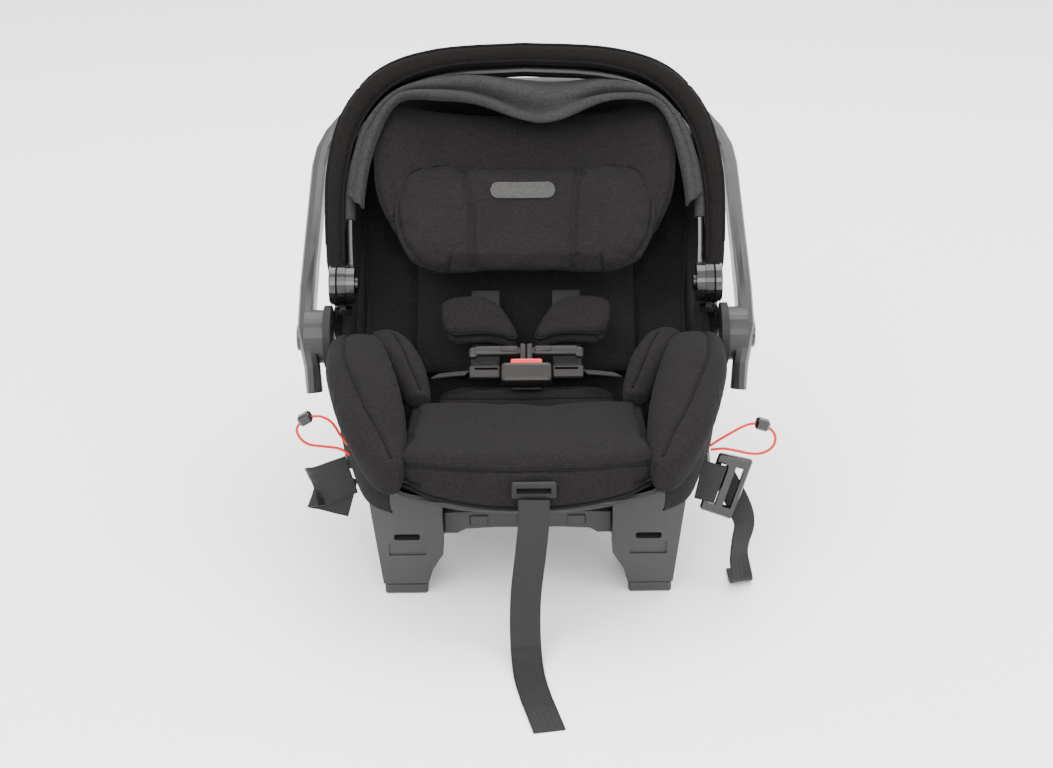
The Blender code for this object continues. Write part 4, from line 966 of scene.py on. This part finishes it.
class SEAT_OT_seat_pads(bpy.types.Operator):
    """Make the seat pad, the side bolsters, the back pad and the infant insert"""
    bl_idname = "seat.seat_pads"
    bl_label = "Seat pads"

    def execute(self, context):
        cover, insert, piping = FINISHES["cover"], FINISHES["insert"], FINISHES["piping"]
        seat = pad("seat_cushion", "seat_pad", cover, "carrier", rise=0.006, inset=0.0035, warp=self.pan)
        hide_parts("seat_pad")
        slant = Vector((0.0, 1.0, -1.0))
        front = [self.pan(place_of(x, -0.0885, 0.1665))
                 for x in (-0.124, -0.11, -0.06, 0.0, 0.06, 0.11, 0.124)]
        front = on_skin(seat, smooth_line(front, 6), slant, 0.0, 0.004, 0.04)
        sides = [on_skin(seat, [self.pan(place_of(side * 0.1225, y, 0.185))
                                for y in (-0.08, -0.02, 0.03, 0.066)],
                         DOWN, 0.0, 0.004, 0.05) for side, _ in SIDES]
        crease(seat, [front, *sides], 0.0026, 0.0030)
        line = on_skin(seat, front, slant, 0.0, 0.004, 0.04)
        cording("seat_front_piping", line, 0.0012, piping, "carrier")
        row = [p + Vector((0.0, 0.0040, 0.002)) for p in line[3:-3]]
        stitching("seat_front_stitches", on_skin(seat, row, slant, 0.0, 0.004, 0.04), -slant,
                  FINISHES["thread"], "carrier", "cover_fabric")
        low = [place_of(x, -0.12, z) for x, z in ((-0.116, 0.1455), (-0.08, 0.1345), (0.0, 0.1290),
                                                  (0.08, 0.1345),
                                                   (0.116, 0.1455))]
        low = on_skin(seat, smooth_line(low, 6), (0.0, 1.0, 0.0), 0.0003, 0.004, 0.05)
        crease(seat, [low], 0.0012, 0.003)
        cording("seat_skirt_welt", low, 0.0014, piping, "carrier")
        back = pad("back_cushion", "back_pad", cover, "carrier", rise=0.004, inset=0.002)
        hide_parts("back_pad")
        lap = pad("insert_cushion", "insert_seat", insert, "carrier", rise=0.005, inset=0.003, voxel=0.0045)
        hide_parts("insert_seat")
        lip = [place_of(x, 0.083, 0.19) for x in (-0.084, -0.04, 0.0, 0.04, 0.084)]
        lip = on_skin(lap, lip, DOWN, 0.0, 0.004, 0.05)
        crease(lap, [lip], 0.002, 0.003)
        cording("insert_lip_piping", on_skin(lap, lip, DOWN, 0.0002, 0.004, 0.05), 0.0012, piping, "carrier")
        for side, name in SIDES:
            self.side_pads(side, name)
        return {"FINISHED"}

    def pan(self, point):
        """The seat pad drawn in towards the back, rounded in plan and lifted at its front corners."""
        y = point.y - DRAWN_Y
        wide = min(abs(point.x) / 0.125, 1.0)
        ahead = min(max(-y / 0.09, 0.0), 1.0)
        low = min(max((0.168 - point.z) / 0.044, 0.0), 1.0)
        return Vector((point.x * (0.955 - 0.045 * min(max((y + 0.09) / 0.16, 0.0), 1.0)),
                       point.y + 0.024 * wide ** 2.6 * ahead,
                       point.z + (0.017 * wide ** 2.2 - 0.0065) * low * ahead + 0.003 * (1.0 - wide ** 2)))

    def side_pads(self, side, name):
        cover, insert, piping = FINISHES["cover"], FINISHES["insert"], FINISHES["piping"]
        stations = [(0.139, 0.142, 0.183, 0.196, 0.208), (0.115, 0.133, 0.187, 0.189, 0.2125),
                    (0.070, 0.122, 0.187, 0.177, 0.2125), (0.030, 0.1125, 0.179, 0.165, 0.2045),
                    (-0.010, 0.1065, 0.168, 0.155, 0.192), (-0.042, 0.105, 0.154, 0.143, 0.180),
                    (-0.064, 0.1065, 0.140, 0.136, 0.1725), (-0.078, 0.110, 0.127, 0.136, 0.167)]
        bolster = roll(f"bolster_{name}", ring_rows(side, stations), cover, "carrier", 0.004)
        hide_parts(f"side_bolster_{name}")
        top = [(0.168, 0.137), (0.172, 0.115), (0.168, 0.070), (0.157, 0.030), (0.143, -0.010),
               (0.128, -0.042), (0.118, -0.068)]
        top = [place_of(side * x, y, 0.26) for x, y in top]
        top = on_skin(bolster, smooth_line(top, 5), DOWN, 0.0, 0.004, 0.1)
        crease(bolster, [top], 0.0018, 0.0028)
        cording(f"bolster_piping_{name}", on_skin(bolster, top, DOWN, 0.0004, 0.004, 0.1), 0.0011, piping,
                "carrier")
        stations = [(0.060, 0.088, 0.112, 0.160, 0.176), (0.078, 0.090, 0.124, 0.163, 0.190),
                    (0.105, 0.097, 0.137, 0.168, 0.203), (0.135, 0.110, 0.148, 0.178, 0.209),
                    (0.158, 0.124, 0.150, 0.187, 0.206)]
        small = roll(f"insert_roll_{name}", ring_rows(side, stations), insert, "carrier", 0.004, 0.0045)
        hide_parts(f"insert_bolster_{name}")
        line = [place_of(side * x, y, 0.26) for x, y in ((0.098, 0.066), (0.107, 0.085), (0.116, 0.11),
                                                         (0.126, 0.138))]
        line = on_skin(small, smooth_line(line, 5), DOWN, 0.0, 0.004, 0.1)
        crease(small, [line], 0.0018, 0.0028)
        cording(f"insert_roll_piping_{name}", on_skin(small, line, DOWN, 0.0003, 0.004, 0.1), 0.0010, piping,
                "carrier")


RIM_STATIONS = (((-0.072, 0.138), (-0.070, 0.124), 0.114), ((-0.040, 0.147), (-0.052, 0.107), 0.142),
                ((0.040, 0.171), (0.010, 0.095), 0.166), ((0.120, 0.190), (0.090, 0.0945), 0.184),
                ((0.190, 0.208), (0.170, 0.118), 0.188), ((0.260, 0.262), (0.248, 0.203), 0.184),
                ((0.330, 0.325), (0.322, 0.279), 0.178), ((0.385, 0.368), (0.384, 0.341), 0.164),
                ((0.412, 0.386), (0.414, 0.372), 0.138))


class SEAT_OT_side_covers(bpy.types.Operator):
    """Make the cover that lines the shell and the skirt that wraps its rim"""
    bl_idname = "seat.side_covers"
    bl_label = "Side covers"

    def execute(self, context):
        self.rims = smooth_line([(wide, *rim) for rim, floor, wide in RIM_STATIONS], 6)
        self.floors = smooth_line([(wide, *floor) for rim, floor, wide in RIM_STATIONS], 6)
        cover, piping = FINISHES["cover"], FINISHES["piping"]

        def lining(u, v):
            swell = 0.0045 * math.sin(math.pi * min(v * 1.4, 1.0)) * abs(math.cos(math.pi * u)) ** 0.6
            swell += 0.013 * math.exp(-((v - 0.52) / 0.16) ** 2) * abs(math.cos(math.pi * u)) ** 3
            return self.shell_point(0.03 + 0.90 * v, math.pi * (0.035 + 0.93 * u), 0.0158 + swell)

        liner = patch("side_lining", 60, 44, lining, (0.46, 0.52), cover, None, "cover_fabric")
        wall(liner, 0.0008, 0.0)
        settle(liner)
        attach(liner, "carrier")
        for side, name in SIDES:
            self.skirt(side, name, cover, piping)
        return {"FINISHED"}

    def shell_point(self, share, angle, inset):
        rim, floor = at_share(self.rims, share), at_share(self.floors, share)
        inward = Vector((0.0, rim.y - floor.y, rim.z - floor.z)).normalized()
        low = floor + inward * inset
        spot = rim.lerp(low, math.sin(angle))
        return place_of(-(rim.x - inset) * math.cos(angle), spot.y, spot.z)

    def skirt(self, side, name, cover, piping):
        """Fabric from the bolster over the shell's rim and down its outside, ending in a hooked tip."""
        def hang(v):
            """How far the skirt hangs down the outside of the shell."""
            return 0.024 + 0.010 * math.exp(-((v - 0.62) / 0.07) ** 2) + 0.008 * math.sin(math.pi * v)

        def surface(u, v):
            share = 0.012 + 0.372 * v
            rim = at_share(self.rims, share)
            if u < 0.4:
                turn = u / 0.4
                inner = Vector((rim.x - 0.014, rim.y, rim.z + 0.006 + 0.004 * math.sin(math.pi * v)))
                over = Vector((rim.x + 0.0015, rim.y, rim.z + 0.0035))
                spot = inner.lerp(over, turn) + Vector((0.0, 0.0, 0.003 * math.sin(math.pi * turn)))
            else:
                turn = (u - 0.4) / 0.6
                spot = Vector((rim.x + 0.0022 + 0.0016 * math.sin(turn * math.pi), rim.y,
                               rim.z + 0.0035 - hang(v) * turn))
            return place_of(side * spot.x, spot.y, spot.z)

        skirt = patch(f"side_skirt_{name}", 18, 50, surface, (0.05, 0.22), cover, None, "cover_fabric")
        wall(skirt, 0.0014, 1.0 if side > 0 else -1.0)
        settle(skirt)
        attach(skirt, "carrier")
        edge = [surface(0.995, index / 60.0) for index in range(61)]
        cording(f"side_skirt_hem_{name}", edge, 0.0012, piping, "carrier")


class SEAT_OT_harness(bpy.types.Operator):
    """Make the shoulder, lap and crotch straps and the chest pads"""
    bl_idname = "seat.harness"
    bl_label = "Harness"

    def execute(self, context):
        sizes = context.scene.seat_sizes
        width, thick = sizes.webbing_width, sizes.webbing_thickness
        webbing = FINISHES["webbing"]
        crotch = drawn([(0, 0.0985, 0.1665), (0, 0.0920, 0.1690), (0, 0.0845, 0.1715)])
        web, _ = strap("crotch_web", crotch, (1.0, 0.0, 0.0), width, thick, webbing, "carrier")
        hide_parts("crotch_strap")
        for side, name in SIDES:
            middle = side * 0.039
            route = [back_place(middle, s, h) for s, h in ((0.298, 0.0305), (0.268, 0.0300), (0.244, 0.0310),
                                                           (0.2255, 0.0420), (0.2130, 0.0475), (0.2055, 0.0550))]
            web, _ = strap(f"shoulder_web_{name}", route, (1.0, 0.0, 0.0), width, thick, webbing, "carrier")
            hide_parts(f"shoulder_strap_{name}")
            lap = drawn([(side * 0.0555, 0.0915, 0.1850), (side * 0.0700, 0.0935, 0.1830),
                         (side * 0.0865, 0.0975, 0.1795)])
            web, _ = strap(f"lap_web_{name}", lap, (0.0, 1.0, -0.25), width - 0.003, thick, webbing,
                           "carrier")
            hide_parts(f"lap_strap_{name}")
            self.chest_pad(side, name)
            self.clip_half(side, name, "chest_clip_left" if side < 0 else "carrier")
        return {"FINISHED"}

    def clip_half(self, side, name, body):
        """One half of the chest clip: a rounded bar, a centre post and a hooked outer end."""
        place = TO_FRAME @ BACK
        bm = bmesh.new()
        for low, high, bevel in (((0.0065, 0.2165, 0.0512), (0.0500, 0.2270, 0.0578), 0.0030),
                                 ((0.0004, 0.2120, 0.0520), (0.0058, 0.2295, 0.0570), 0.0012),
                                 ((0.0050, 0.2185, 0.0525), (0.0090, 0.2250, 0.0565), 0.0010),
                                 ((0.0460, 0.2145, 0.0515), (0.0545, 0.2260, 0.0575), 0.0026),
                                 ((0.0085, 0.2195, 0.0560), (0.0240, 0.2240, 0.0583), 0.0010)):
            low, high = Vector(low), Vector(high)
            cube = bmesh.ops.create_cube(bm, size=1.0, matrix=Matrix.Translation((low + high) / 2)
                                         @ Matrix.Diagonal((*(high - low), 1.0)))["verts"]
            edges = {edge for vert in cube for edge in vert.link_edges}
            bmesh.ops.bevel(bm, geom=list(edges), offset=bevel, segments=3, profile=0.5, affect="EDGES",
                            material=-1, clamp_overlap=True)
        for vert in bm.verts:
            bow = 0.0016 * math.sin(math.pi * vert.co.x / 0.055)
            vert.co = place @ Vector((side * vert.co.x, vert.co.y + bow, vert.co.z + bow))
        clip = add_piece(f"chest_clip_shell_{name}", bm, FINISHES["buckle"], body, "buckle_plastic")
        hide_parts(f"chest_clip_{name}")

    def chest_pad(self, side, name):
        """A soft pad with a rounded top, on a thinner one that shows below it."""
        shape = [(0.0815, 0.2727), (0.0786, 0.2800), (0.0625, 0.2840), (0.0408, 0.2832), (0.0230, 0.2715),
                 (0.0090, 0.2480), (0.0078, 0.2400), (0.0150, 0.2385), (0.0355, 0.2425), (0.0610, 0.2425),
                 (0.0730, 0.2445), (0.0800, 0.2560), (0.0815, 0.2727)]
        outline = smooth_line([(side * x, s, 0.0) for x, s in shape], 3)[:-1]

        def bend(x, s, h):
            return back_place(x, s, h + 0.0035 * math.sin(math.pi * (abs(x) - 0.006) / 0.077))

        def under_bend(x, s, h):
            return bend(x * 0.985, s - 0.0062, h)

        finish = FINISHES["insert"]
        under = cushion(f"chest_underpad_{name}", outline, 0.0350, 0.0400, under_bend, finish, "carrier",
                        0.002, 0.6, 0.0038)
        chest = cushion(f"chest_cushion_{name}", outline, 0.0400, 0.0480, bend, finish, "carrier", 0.0045,
                        0.8, 0.0038)
        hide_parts(f"chest_pad_{name}")
        for piece, label, drop in ((chest, "upper", 0.0), (under, "lower", 0.0065)):
            line = [back_place(side * x, s - drop, 0.075) for x, s in ((0.0095, 0.2440), (0.0150, 0.2412),
                                                                      (0.0355, 0.2452), (0.0610, 0.2452),
                                                                      (0.0720, 0.2470))]
            line = on_skin(piece, smooth_line(line, 5), -OUTWARD, 0.0, 0.003, 0.04)
            crease(piece, [line], 0.0012, 0.0020)
            line = on_skin(piece, line, -OUTWARD, 0.0002, 0.003, 0.04)
            cording(f"chest_piping_{label}_{name}", line, 0.0009, FINISHES["piping"], "carrier")


class SEAT_OT_anchor_belts(bpy.types.Operator):
    """Make the lower anchor belts of the base"""
    bl_idname = "seat.anchor_belts"
    bl_label = "Anchor belts"

    def execute(self, context):
        left = [(-0.1600, 0.0080, 0.1200), (-0.1740, 0.0050, 0.1160), (-0.1880, 0.0040, 0.1110),
                (-0.1945, 0.0070, 0.1080), (-0.1880, 0.0110, 0.1030), (-0.1740, 0.0120, 0.0980),
                (-0.1600, 0.0125, 0.0940)]
        web, _ = strap("anchor_web_left", drawn(left), (-0.15, 0.0, 1.0), BELT_WIDTH, BELT_THICKNESS,
                       FINISHES["belt"], "base")
        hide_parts("anchor_belt_left")
        right = [(0.1560, 0.0060, 0.1130), (0.1660, 0.0040, 0.1110), (0.1760, 0.0040, 0.1080)]
        web, _ = strap("anchor_web_right", drawn(right), (0.28, 0.0, 1.0), BELT_WIDTH, BELT_THICKNESS,
                       FINISHES["belt"], "base")
        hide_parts("anchor_belt_right")
        return {"FINISHED"}


class SEAT_PT_panel(bpy.types.Panel):
    """Builds the seat piece by piece"""
    bl_idname = "SEAT_PT_panel"
    bl_label = "Infant car seat"
    bl_space_type = "VIEW_3D"
    bl_region_type = "UI"
    bl_category = "Car Seat"

    def draw(self, context):
        for group in (context.scene.seat_sizes, context.scene.seat_colours):
            box = self.layout.box()
            for name in group.__annotations__:
                box.prop(group, name)
        for operator in OPERATORS:
            self.layout.operator(operator.bl_idname)


OPERATORS = (SEAT_OT_stage, SEAT_OT_hard_parts, SEAT_OT_cords, SEAT_OT_canopy, SEAT_OT_headrest,
             SEAT_OT_seat_pads, SEAT_OT_side_covers, SEAT_OT_harness, SEAT_OT_anchor_belts)
CLASSES = (SeatSizes, SeatColours, *OPERATORS, SEAT_PT_panel)


def register():
    for item in CLASSES:
        bpy.utils.register_class(item)
    bpy.types.Scene.seat_sizes = PointerProperty(type=SeatSizes)
    bpy.types.Scene.seat_colours = PointerProperty(type=SeatColours)


def unregister():
    del bpy.types.Scene.seat_colours
    del bpy.types.Scene.seat_sizes
    for item in reversed(CLASSES):
        bpy.utils.unregister_class(item)


def main():
    register()
    for operator in OPERATORS:
        getattr(bpy.ops.seat, operator.bl_idname.partition(".")[2])()


if __name__ == "__main__":
    main()
